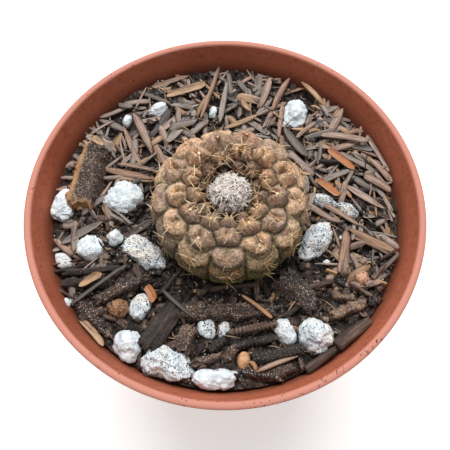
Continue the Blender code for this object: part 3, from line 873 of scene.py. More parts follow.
@dataclass
class Pot:
    """The plastic pot: the source's profile with rounder edges, turned finely, with its drain holes."""

    height: float = 68 * MM
    rim_radius: float = 40 * MM
    rim_thickness: float = 1.4 * MM
    band_height: float = 9.5 * MM
    band_taper: float = 0.9 * MM
    wall: float = 1.3 * MM
    band_foot_inner: float = 36.0 * MM
    floor_inner: float = 26.0 * MM
    floor_top: float = 3.0 * MM
    floor_thickness: float = 1.5 * MM
    floor_corner: float = 1.2 * MM
    floor_rings: Span = (12 * MM, 18 * MM)
    foot_outer: float = 27.0 * MM
    foot_inner: float = 24.4 * MM
    foot_flare: float = 0.5 * MM
    drain_holes: int = 5
    drain_radius: float = 2.5 * MM
    drain_circle: float = 15 * MM
    edge: float = 0.62 * MM
    sides: int = 200

    def inner_radius(self, height: Array) -> Array:
        """Radius of the inner wall by height: one taper up to the rim band, and a wider one within it."""
        band_foot = self.height - self.band_height
        inner_rim = self.rim_radius - self.rim_thickness
        levels = (self.floor_top, band_foot, self.height)
        return np.interp(height, levels, (self.floor_inner, self.band_foot_inner, inner_rim))

    def profile(self) -> Array:
        """Radius and height from the middle of the floor, over the rim, to the middle underneath."""
        band_foot = self.height - self.band_height
        inner_rim = self.rim_radius - self.rim_thickness
        band_edge = self.rim_radius - self.band_taper
        underside = self.floor_top - self.floor_thickness
        corner_top = self.floor_top + self.floor_corner
        corners = np.array([
            (0, self.floor_top),
            *((ring, self.floor_top) for ring in self.floor_rings),
            (self.floor_inner - self.floor_corner, self.floor_top),
            (float(self.inner_radius(corner_top)), corner_top),
            (self.band_foot_inner, band_foot),
            (inner_rim, self.height),
            (self.rim_radius, self.height),
            (band_edge, band_foot),
            (self.band_foot_inner + self.wall, band_foot - self.edge),
            (self.foot_outer + self.foot_flare, 2 * self.foot_flare),
            (self.foot_outer, 0),
            (self.foot_inner, 0),
            (self.foot_inner - self.foot_flare, underside),
            *((ring, underside) for ring in reversed(self.floor_rings)),
            (0, underside),
        ])
        return fillet(corners, self.edge)

    def build(self) -> None:
        """Turns the profile round the axis, cuts the drain holes, and dresses the pot."""
        profile = self.profile()
        grid = ClosedGrid(len(profile) - 2, self.sides)
        place = grid.share * (len(profile) - 1)
        radius = np.interp(place, np.arange(len(profile)), profile[:, 0])
        height = np.interp(place, np.arange(len(profile)), profile[:, 1])
        points = np.stack([radius * np.cos(grid.angle), radius * np.sin(grid.angle), height], -1)
        finish = PotPlastic().make(self.height)
        pot = Surface(points, *grid.faces()).piece("pot_shell", finish, "pot_plastic", "pot")
        for index in range(self.drain_holes):
            self.drill(pot, FULL_TURN * (index + 0.5) / self.drain_holes)
        pot.data.shade_smooth()
        places = np.empty(3 * len(pot.data.vertices))
        pot.data.vertices.foreach_get("co", places)
        x, y, z = places.reshape(-1, 3).T
        # The rim's top, which the finish paints paler as a sky reflection.
        top = blend(self.height - 0.5 * MM, self.height - 0.2 * MM, z)
        inside = np.hypot(x, y) < self.inner_radius(z) + 0.5 * self.rim_thickness
        # The wall mark grows down the inner wall; the finish paints shade by it and strews more specks by it.
        wall = inside * np.clip((self.height - z) / self.band_height, 0, 1)
        for name, values in (("rim", top), ("wall", wall)):
            pot.data.attributes.new(name, "FLOAT", "POINT").data.foreach_set("value", values)

    def drill(self, pot: bpy.types.Object, bearing: float) -> None:
        """Cuts one drain hole.

        Args:
            pot: The pot.
            bearing: Direction of the hole from the pot's axis.
        """
        grid = ClosedGrid(2, 32)
        radius = np.where((grid.share == 0) | (grid.share == 1), 0, self.drain_radius)
        height = self.floor_top + 4 * self.floor_thickness * (np.round(grid.share) - 0.65)
        centre = self.drain_circle * np.array([math.cos(bearing), math.sin(bearing)])
        x = centre[0] + radius * np.cos(grid.angle)
        y = centre[1] + radius * np.sin(grid.angle)
        quads, tris = grid.faces()
        mesh = bpy.data.meshes.new("drill")
        mesh.from_pydata(np.stack([x, y, height], -1).tolist(), [], quads.tolist() + tris.tolist())
        drill = new_object("drill", mesh)
        cut = pot.modifiers.new("drain_hole", "BOOLEAN")
        cut.operation = "DIFFERENCE"
        cut.solver = "EXACT"
        cut.object = drill
        bpy.context.view_layer.update()
        shaped = pot.evaluated_get(bpy.context.evaluated_depsgraph_get())
        mesh = bpy.data.meshes.new_from_object(shaped)
        pot.modifiers.clear()
        pot.data = mesh
        bpy.data.objects.remove(drill)


@dataclass
class Ground:
    """The surface of the mix, which takes its waves from the CAD source, and the plant's place on it."""

    level: float = 61.2 * MM
    relief: float = 0.75 * MM
    wave: float = 7.5 * MM
    fine_share: float = 0.6
    fine_times: float = 2.1
    seeds: tuple[int, int] = (21, 22)
    cactus: tuple[float, float] = (0.9 * MM, -1.2 * MM)

    def height(self, x: Array, y: Array) -> Array:
        """Height of the surface: the level, plus two waves of noise of the source's own seeds."""
        x, y = np.asarray(x, float), np.asarray(y, float)
        places = np.stack([x, y, np.zeros_like(x)], -1).reshape(-1, 3)
        coarse = value_noise(places, self.wave, self.seeds[0])
        fine = value_noise(places, self.wave / self.fine_times, self.seeds[1])
        return (self.level + self.relief * (coarse + self.fine_share * fine)).reshape(x.shape)

    def spot(self, x: float, y: float, rise: float) -> Array:
        """The point in metres at a rise above the mix, all three given in millimetres."""
        return np.array([x * MM, y * MM, float(self.height(x * MM, y * MM)) + rise * MM])

    def from_cactus(self, x: Array, y: Array) -> Array:
        """Level distance from the middle of the cactus."""
        return np.hypot(x - self.cactus[0], y - self.cactus[1])

    def strew(self, draw: Draw, bearing: Array, ring: Span, clear: float) -> tuple[Array, Array]:
        """Strews places evenly over a ring of the mix, and leaves out those near the cactus.

        Args:
            draw: Source of the random numbers.
            bearing: Direction of each place from the pot's axis.
            ring: Inner and outer radius of the ring in millimetres.
            clear: Millimetres from the cactus's middle that are kept free.

        Returns:
            The x and y of the places that stay, in metres.
        """
        distance = np.sqrt(draw.uniform(ring[0] ** 2, ring[1] ** 2, len(bearing))) * MM
        x, y = distance * np.cos(bearing), distance * np.sin(bearing)
        keep = self.from_cactus(x, y) > clear * MM
        return x[keep], y[keep]


@dataclass
class Plug:
    """The plug of mix: crumb raised as domes of two sizes, with a bowl under the cactus."""

    ground: Ground
    pot: Pot
    gap: float = 0.45 * MM
    bowl_depth: float = 5.0 * MM
    bowl_radius: float = 13.4 * MM
    bowl_slope: float = 2.0 * MM
    bowl_rings: tuple[float, ...] = (2.0 * MM, 5.0 * MM, 8.0 * MM, 10.0 * MM)
    top_start: float = 11.0 * MM
    top_rings: int = 126
    side_levels: tuple[float, ...] = (59.0 * MM, 55.0 * MM, 40.0 * MM, 20.0 * MM, 4.6 * MM)
    under_rings: tuple[float, ...] = (24.0 * MM, 14.0 * MM)
    under_level: float = 3.45 * MM
    sides: int = 620
    coarse: float = 2.1 * MM
    fine: float = 0.9 * MM

    def domes(self, places: Array, size: float, least: float, seed: int) -> tuple[Array, Array]:
        """Raises domes, sqrt(1 - (gap / 0.8)^2) high, on strewn points.

        Args:
            places: Where the height is wanted.
            size: Room for one dome in metres.
            least: Height of the lowest dome, where the highest has 1.
            seed: Seed of the points.

        Returns:
            The height at each place, and the grain's random paleness times that height, which leaves painted
            shade between the domes.
        """
        gap, tag = cell_noise(places, size, seed)
        dome = np.sqrt(np.clip(1 - (gap / 0.8) ** 2, 0, 1)) * (least + (1 - least) * tag)
        return dome, dome * tag

    def build(self) -> None:
        """Draws the plug's top, side and underside on one closed grid.

        The rings run from under the cactus out to the wall, down the wall and in to the middle of
        the floor. On top, the height is the ground's, plus the domes, less the bowl.
        """
        edge = float(self.pot.inner_radius(self.ground.level)) - self.gap
        top = np.concatenate([self.bowl_rings, np.linspace(self.top_start, edge, self.top_rings)])
        side = self.pot.inner_radius(self.side_levels) - self.gap
        radii = np.concatenate([[0.0], top, side, self.under_rings, [0.0]])
        under = np.full(len(self.under_rings) + 1, self.under_level)
        levels = np.concatenate([np.zeros(len(top) + 1), self.side_levels, under])
        grid = ClosedGrid(len(radii) - 2, self.sides)
        ring = np.round(grid.share * (grid.rings + 1)).astype(int)
        on_top = ring <= len(top)
        radius = radii[ring]
        drift = on_top * (1 - blend(0, edge, radius))
        x = radius * np.cos(grid.angle) + drift * self.ground.cactus[0]
        y = radius * np.sin(grid.angle) + drift * self.ground.cactus[1]
        flat = np.stack([x, y, np.zeros_like(x)], -1)
        coarse, coarse_tone = self.domes(flat, self.coarse, 0.3, 31)
        fine, fine_tone = self.domes(flat, self.fine, 0.4, 32)
        crumb = 0.8 * coarse + 0.35 * fine + 0.1 * value_noise(flat, 0.5 * MM, 33) - 0.75
        bowl = 1 - blend(self.bowl_radius - self.bowl_slope, self.bowl_radius, self.ground.from_cactus(x, y))
        surface = self.ground.height(x, y) + crumb * MM - bowl * self.bowl_depth
        points = np.stack([x, y, np.where(on_top, surface, levels[ring])], -1)
        # Painted shade: the tone follows the domes' height, near black between the grains, and drops in the
        # bowl under the cactus; each grain's paleness is random.
        marks = {"tone": 0.18 + 0.3 * coarse_tone + 0.3 * fine_tone - 0.2 * bowl}
        plug = Surface(points, *grid.faces(), marks)
        plug.piece("mix_plug", SoilCrumb().make(), "potting_mix", "potting_mix")


class BarkKind(Enum):
    """How a bark chip is broken: crumbly, splintered along its grain, ribbed across, or smooth."""

    CRUMBLY = "crumbly"
    GRAINED = "grained"
    RIBBED = "ribbed"
    SLAB = "slab"


@dataclass(frozen=True)
class BarkChip:
    """One bark chip: its place and sizes in millimetres, its turn in degrees, its kind and its tone."""

    x: float
    y: float
    length: float
    width: float
    height: float
    turn: float
    kind: BarkKind
    tone: float
    rust: float = 0.0
    lift: float = 0.0


C, G, R, S = BarkKind.CRUMBLY, BarkKind.GRAINED, BarkKind.RIBBED, BarkKind.SLAB

BARK_CHIPS = tuple(BarkChip(*row) for row in (
    (-29.2, 7.4, 15.0, 7.6, 4.0, 81, C, 0.36, 1.0), (0.6, -21.7, 19.5, 4.4, 2.4, 0, C, 0.36),
    (5.8, -25.0, 9.0, 2.0, 1.8, 10, R, 0.5), (5.4, -27.6, 9.0, 2.2, 1.7, 12, R, 0.16),
    (9.8, -30.0, 8.4, 3.2, 2.2, 10, R, 0.14), (-12.0, -24.2, 11.5, 5.8, 2.4, 58, G, 0.24),
    (-7.4, -27.0, 5.0, 4.4, 2.6, 70, C, 0.46), (-2.9, -30.7, 5.6, 2.0, 1.8, 18, C, 0.52),
    (-1.4, -28.2, 4.6, 2.2, 1.6, 32, R, 0.1), (-26.6, -13.4, 12.0, 1.9, 1.8, 5, G, 0.22),
    (-28.6, -16.2, 7.4, 2.4, 1.7, -6, G, 0.2), (-20.6, -17.5, 11.0, 2.6, 2.0, 28, C, 0.3),
    (-26.2, -22.4, 9.0, 3.2, 1.8, -48, C, 0.18), (24.4, -26.0, 8.6, 3.0, 2.4, 36, S, 0.42),
    (18.0, -31.0, 7.0, 2.2, 2.0, 35, S, 0.36), (24.1, -21.2, 8.3, 2.6, 2.0, 22, C, 0.66),
    (14.4, -17.8, 9.0, 6.0, 2.2, -50, C, 0.3), (7.0, -33.4, 6.4, 2.6, 1.8, -10, C, 0.26),
    (24.2, -11.6, 5.4, 2.0, 2.0, 82, G, 0.66),
))


@dataclass(frozen=True)
class Splinter:
    """A smaller piece of bark between two places in the photograph.

    Its width is in the photograph's units, its height and its lift off the mix in millimetres.
    """

    across_1: float
    down_1: float
    across_2: float
    down_2: float
    width: float
    height: float
    kind: BarkKind
    tone: float
    lift: float = 0.0
    rust: float = 0.0


SPLINTERS = tuple(Splinter(*row) for row in (
    (50, 265, 84, 259, 4, 1.6, G, 0.54), (54, 271, 86, 264, 4, 1.3, G, 0.2),
    (48, 283, 70, 296, 3, 1.6, G, 0.46, 0.4), (78, 318, 104, 309, 16, 1.4, C, 0.26),
    (96, 302, 122, 284, 6, 1.5, G, 0.3, 0.2), (135, 264, 144, 285, 7, 1.6, G, 0.52, 0.3),
    (146, 278, 156, 269, 4, 1.2, G, 0.5, 0.2), (160, 296, 182, 268, 9, 1.2, G, 0.24),
    (178, 294, 184, 324, 10, 1.2, G, 0.2), (174, 364, 187, 374, 9, 1.7, C, 0.5),
    (140, 373, 178, 382, 5, 1.5, G, 0.36), (212, 281, 250, 282, 6, 1.2, G, 0.1),
    (212, 289, 254, 286, 4, 1.2, G, 0.44, 0.1), (257, 273, 257, 300, 7, 1.6, G, 0.42, 0.1),
    (263, 276, 268, 299, 5, 1.3, G, 0.16), (309, 288, 331, 281, 9, 1.5, G, 0.4, 0.2),
    (286, 315, 318, 295, 6, 1.5, G, 0.3, 0.1), (296, 306, 318, 292, 5, 1.6, G, 0.46, 0.3),
    (331, 296, 357, 298, 8, 1.6, C, 0.56), (348, 282, 371, 295, 4, 1.5, G, 0.62, 0.4),
    (309, 313, 331, 322, 6, 1.4, C, 0.48), (314, 303, 331, 311, 7, 1.3, C, 0.24),
    (371, 282, 388, 262, 6, 1.8, G, 0.5, 0.3), (376, 262, 396, 250, 5, 1.8, G, 0.4, 0.6),
    (352, 256, 376, 268, 12, 1.0, C, 0.66), (270, 374, 292, 366, 16, 1.5, C, 0.34),
    (224, 362, 234, 349, 15, 1.2, C, 0.36), (256, 262, 286, 274, 9, 1.0, C, 0.2),
    (282, 246, 300, 262, 8, 0.9, C, 0.16), (330, 262, 346, 276, 9, 1.0, C, 0.36),
    (66, 222, 96, 232, 14, 1.1, C, 0.34), (86, 222, 118, 218, 8, 1.0, C, 0.26),
    (138, 196, 158, 186, 6, 1.5, G, 0.2, 0.2), (134, 206, 158, 198, 5, 1.5, G, 0.24, 0.2),
    (140, 222, 162, 210, 6, 1.3, G, 0.16), (136, 114, 150, 122, 9, 1.6, C, 0.2, 0.2),
    (322, 162, 350, 164, 6, 1.6, G, 0.16, 0.4), (326, 269, 337, 273, 5, 1.5, S, 1.05, 0.3),
    (377, 281, 387, 285, 3, 1.5, S, 1.0, 0.4),
))


@dataclass
class Bark:
    """The bark chips: blocks drawn as rounded bars, roughened in the way of their kind."""

    ground: Ground
    sunk: float = 2.5
    narrow_end: float = 0.72
    foot_width: float = 1.05
    top_width: float = 0.8
    tilt: float = math.radians(3)
    units_per_mm: float = 5.2

    def relief(self, kind: BarkKind, own: Array, seed: int) -> Array:
        """Works out how far a chip's surface stands out, by noise of its kind.

        Crumbly bark has grains, grained bark and slabs have fibres drawn out along x, and ribbed
        bark has ribs across it.

        Args:
            kind: How the chip is broken.
            own: Its points in its own axes, in millimetres.
            seed: Seed of the noise.

        Returns:
            The relief at each point in millimetres.
        """
        drawn_out = own * (0.18, 1.0, 1.0)
        if kind is BarkKind.CRUMBLY:
            gap, tag = cell_noise(own, 0.85, seed)
            return 0.42 * rough_noise(own, 1.8, seed + 1, 4) + 0.3 * (0.6 - gap) * (0.4 + tag)
        if kind is BarkKind.GRAINED:
            return 0.34 * rough_noise(drawn_out, 0.8, seed + 1) + 0.1 * value_noise(own, 0.6, seed + 4)
        if kind is BarkKind.RIBBED:
            wander = value_noise(own, 2.0, seed + 1)
            return 0.14 * np.sin(own[:, 0] * FULL_TURN / 0.75 + 2 * wander) + 0.2 * wander
        return 0.12 * rough_noise(drawn_out, 1.4, seed + 1) + 0.08 * value_noise(own, 1.2, seed + 4)

    def chip(self, index: int, chip: BarkChip, fineness: float = 1.0) -> Surface:
        """Draws one chip in its place.

        Along the bar x = t * length / 2, with t eased towards the ends. Its section is the curve
        |y|^4 + |z|^4 = 1 scaled by (1 - t^10)^0.1, narrowing to one end and to the top.

        Args:
            index: Number of the chip, which seeds its noise.
            chip: The chip.
            fineness: How finely it is drawn.

        Returns:
            The chip's surface.
        """
        grid = ClosedGrid(int(fineness * (22 + 4.4 * chip.length)), int(fineness * (20 + 5 * chip.width)))
        t = np.sin((grid.share - 0.5) * math.pi) * 0.6 + (grid.share - 0.5) * 0.8
        cap = np.clip(1 - np.abs(t) ** 10, 0, 1) ** 0.1
        cos, sin = np.cos(grid.angle), np.sin(grid.angle)
        square = (np.abs(cos) ** 4 + np.abs(sin) ** 4) ** 0.25
        across, upward = cos / square, sin / square
        block = chip.height + self.sunk
        narrow = np.interp(t, (-1, 1), (1, self.narrow_end))
        narrow = narrow * np.interp(upward, (-1, 1), (self.foot_width, self.top_width))
        own = np.stack([t * chip.length, across * cap * chip.width * narrow, upward * cap * block], -1) / 2
        seed = 300 + 10 * index
        relief = self.relief(chip.kind, own, seed)
        side = np.stack([np.zeros_like(t), across * cap, upward * cap], -1)
        splinter = 1.1 * t**7 * rough_noise(own * (0, 1, 1), 0.9, seed + 6) * (chip.kind is not BarkKind.SLAB)
        own = own + side * relief[:, None]
        own[:, 0] += splinter + 0.5 * relief * np.abs(t) ** 6
        place = self.ground.spot(chip.x, chip.y, (chip.height - self.sunk) / 2 + chip.lift)
        points = stood(own * MM, place, math.radians(chip.turn), self.tilt if index % 2 else -self.tilt)
        rust = chip.rust * np.maximum(blend(0.3, 0.72, across + 0.25 * relief), 0.8 * blend(-0.75, -0.98, t))
        crumbly = {BarkKind.CRUMBLY: 1.0, BarkKind.RIBBED: 0.35}.get(chip.kind, 0.1)
        marks = {
            "grain": own + 20.0 * index,
            # The tone rises with the relief: painted shade in its hollows, on top of the chip's own tone and
            # noise.
            "tone": chip.tone + 0.1 * value_noise(own, 2.5, seed + 8) + 0.25 * relief,
            "rust": rust,
            "crumbly": np.full(len(t), crumbly),
        }
        return Surface(points, *grid.faces(), marks)

    def build(self) -> None:
        """Dresses every chip as a piece of its own, and the splinters, bits and fibres."""
        finish = BarkSkin().make()
        for index, chip in enumerate(BARK_CHIPS):
            self.chip(index, chip).piece(f"bark_chip_{index + 1:02d}", finish, "potting_mix")
        splinters = [self.chip(40 + index, self.splinter(spot), 0.6) for index, spot in enumerate(SPLINTERS)]
        joined(splinters).piece("bark_splinters", finish, "potting_mix")
        self.bits(finish)
        self.fibres(finish)

    def splinter(self, spot: Splinter) -> BarkChip:
        """Turns a splinter placed by the photograph into a chip between its two ends.

        Args:
            spot: The splinter.

        Returns:
            The chip.
        """
        level = self.ground.level + (spot.height + spot.lift) * 0.7 * MM
        first, last = VIEW.on_level((spot.across_1, spot.across_2), (spot.down_1, spot.down_2), level) / MM
        x, y = (first + last) / 2
        run = last - first
        turn = math.degrees(math.atan2(run[1], run[0]))
        length = float(np.hypot(*run))
        width = spot.width / self.units_per_mm
        return BarkChip(x, y, length, width, spot.height, turn, spot.kind, spot.tone, spot.rust, spot.lift)

    def bits(self, finish: Material, count: int = 520) -> None:
        """Strews small broken bits of bark, mostly in front of the cactus.

        Each bit is a ball pushed towards a block, by its components to the power 0.6, with its
        corners drawn in and out at random.

        Args:
            finish: The bark's material.
            count: How many bits are drawn before those near the cactus are left out.
        """
        draw = np.random.default_rng(61)
        grid = ClosedGrid(5, 9)
        ball = grid.directions()
        size = len(ball)
        mostly = draw.uniform(0, 1, count) < 0.75
        bearing = np.radians(np.where(mostly, draw.uniform(-190, 10, count), draw.uniform(0, 360, count)))
        x, y = self.ground.strew(draw, bearing, (14.8, 35.4), 15.4)
        count = len(x)
        length = 0.8 + 3.4 * draw.uniform(0, 1, count) ** 2
        sizes = np.stack([length, draw.uniform(0.6, 1.7, count), draw.uniform(0.4, 1.0, count)], -1) / 2
        block = np.sign(ball) * np.abs(ball) ** 0.6
        shapes = block[None] * sizes[:, None] * draw.uniform(0.72, 1.22, (count, size, 1)) * MM
        roll, pitch = draw.uniform(-0.5, 0.5, (2, count)) * np.array([[1.0], [0.5]])
        frames = frames_from_angles(roll, pitch, draw.uniform(0, FULL_TURN, count))
        z = self.ground.height(x, y) + draw.uniform(-0.1, 0.7, count) * MM
        points = strewn(shapes, frames, np.stack([x, y, z], -1))
        marks = {
            "grain": (shapes / MM).reshape(-1, 3) + per_point(draw.uniform(0, 90, (count, 1)), size),
            "tone": per_point(0.05 + 0.56 * draw.uniform(0, 1, count) ** 1.3, size),
            "rust": per_point((draw.uniform(0, 1, count) > 0.95) * 0.6, size),
            "crumbly": per_point(draw.uniform(0, 1, count), size),
        }
        Surface(points, *grid.faces(count), marks).piece("bark_bits", finish, "potting_mix")

    def fibres(self, finish: Material, count: int = 900) -> None:
        """Strews thin splinters and strands over the mix.

        A strand is x = length * (s - 1/2), bowed by b * (1 - (2s-1)^2), and tapers at both ends.

        Args:
            finish: The bark's material.
            count: How many strands are drawn before those near the cactus are left out.
        """
        draw = np.random.default_rng(62)
        grid = ClosedGrid(4, 4)
        s = grid.share
        size = len(s)
        x, y = self.ground.strew(draw, draw.uniform(0, FULL_TURN, count), (14.5, 34.8), 15.6)
        count = len(x)
        length = 1.2 + 4.4 * draw.uniform(0, 1, count) ** 2
        thick = draw.uniform(0.06, 0.24, count)[:, None] * (1 - (2 * s - 1) ** 4)
        bow = draw.uniform(-0.25, 0.25, (2, count, 1)) * length[:, None] * (1 - (2 * s - 1) ** 2)
        own_y = thick * np.cos(grid.angle) + bow[0]
        own_z = 0.6 * thick * np.sin(grid.angle) + 0.4 * bow[1]
        own = np.stack([length[:, None] * (s - 0.5), own_y, own_z], -1)
        pitch = draw.uniform(-0.3, 0.3, count)
        frames = frames_from_angles(draw.uniform(-1, 1, count), pitch, draw.uniform(0, FULL_TURN, count))
        z = self.ground.height(x, y) + (draw.uniform(0.1, 1.1, count) + 0.3 * length * np.abs(pitch)) * MM
        points = strewn(own * MM, frames, np.stack([x, y, z], -1))
        marks = {
            "grain": own.reshape(-1, 3) + per_point(draw.uniform(0, 90, (count, 1)), size),
            "tone": per_point(0.05 + 0.95 * draw.uniform(0, 1, count) ** 1.8, size),
            "rust": np.zeros(len(points)),
            "crumbly": np.zeros(len(points)),
        }
        Surface(points, *grid.faces(count), marks).piece("bark_fibres", finish, "potting_mix")


# Hulls that stand out in the photograph: across and down its picture for both ends, width in its
# units, tone, and millimetres above the mix.
PLACED_HULLS = (
    (167, 141, 195, 111, 11, 0.42, 1.4), (160, 131, 187, 110, 8, 0.56, 0.9),
    (134, 114, 152, 153, 10, 0.6, 1.6), (124, 127, 141, 165, 8, 0.66, 1.2),
    (99, 120, 125, 131, 8, 0.34, 0.8), (96, 115, 135, 97, 6, 0.5, 1.0), (149, 89, 188, 76, 6, 0.68, 1.4),
    (167, 96, 205, 83, 9, 0.82, 1.8), (138, 92, 171, 103, 6, 0.24, 1.0), (219, 62, 201, 114, 5, 0.7, 2.4),
    (101, 168, 152, 179, 9, 0.73, 1.2), (118, 164, 155, 171, 6, 0.67, 1.8),
    (105, 178, 154, 181, 6, 0.75, 0.8), (122, 163, 134, 153, 5, 0.55, 1.4),
    (150, 146, 163, 137, 8, 0.8, 1.2), (188, 137, 208, 120, 9, 0.4, 1.0), (61, 243, 102, 222, 9, 0.26, 2.0),
    (104, 211, 143, 229, 5, 0.5, 1.0), (93, 137, 103, 145, 9, 0.84, 2.6), (94, 120, 113, 156, 5, 0.3, 1.0),
    (175, 106, 185, 114, 6, 0.96, 1.6), (227, 83, 220, 121, 7, 0.42, 1.8),
    (238, 80, 258, 102, 7, 0.25, 1.4), (242, 100, 251, 110, 7, 0.86, 2.0),
    (290, 78, 273, 109, 8, 0.69, 1.8), (256, 114, 273, 96, 7, 0.4, 1.2), (224, 128, 257, 115, 7, 0.82, 2.0),
    (257, 115, 286, 103, 5, 0.62, 1.2), (283, 106, 279, 137, 5, 0.7, 1.4),
    (270, 117, 263, 137, 6, 0.35, 1.0), (284, 127, 308, 156, 12, 0.2, 1.8),
    (289, 151, 314, 175, 8, 0.5, 1.0), (304, 78, 327, 102, 7, 0.86, 2.2),
    (329, 100, 325, 130, 6, 0.62, 1.4), (349, 103, 335, 128, 9, 0.64, 1.8),
    (315, 123, 297, 137, 5, 0.69, 1.6), (342, 128, 305, 138, 7, 0.18, 2.0),
    (322, 134, 368, 142, 9, 0.58, 2.2), (317, 144, 350, 147, 8, 0.78, 1.6),
    (329, 149, 354, 169, 9, 1.0, 2.2), (352, 147, 373, 149, 6, 0.16, 1.8),
    (361, 153, 384, 170, 8, 0.7, 1.8), (340, 153, 378, 172, 7, 0.45, 1.2),
    (364, 176, 391, 191, 9, 0.63, 1.8), (352, 176, 377, 191, 8, 0.3, 1.2),
    (347, 186, 384, 208, 8, 0.56, 1.6), (318, 179, 340, 194, 12, 1.0, 1.8),
    (335, 181, 352, 198, 6, 0.94, 1.4), (324, 205, 359, 225, 7, 0.66, 1.4),
    (307, 203, 340, 222, 7, 0.61, 1.0), (350, 230, 398, 253, 9, 0.78, 2.0),
    (352, 236, 392, 255, 7, 0.7, 1.2), (373, 134, 395, 170, 5, 0.5, 1.6),
    (380, 191, 395, 217, 5, 0.56, 1.2), (79, 286, 101, 273, 9, 0.9, 2.7), (78, 318, 103, 346, 7, 0.82, 1.4),
    (163, 290, 195, 318, 4, 0.1, 3.0), (146, 286, 154, 301, 9, 1.0, 1.8),
    (242, 295, 272, 318, 4, 0.94, 3.0), (256, 372, 298, 356, 5, 0.62, 2.2),
    (250, 361, 256, 371, 5, 0.95, 1.8), (347, 232, 339, 272, 9, 0.7, 1.8),
    (70, 305, 125, 265, 4, 0.12, 2.2),
)


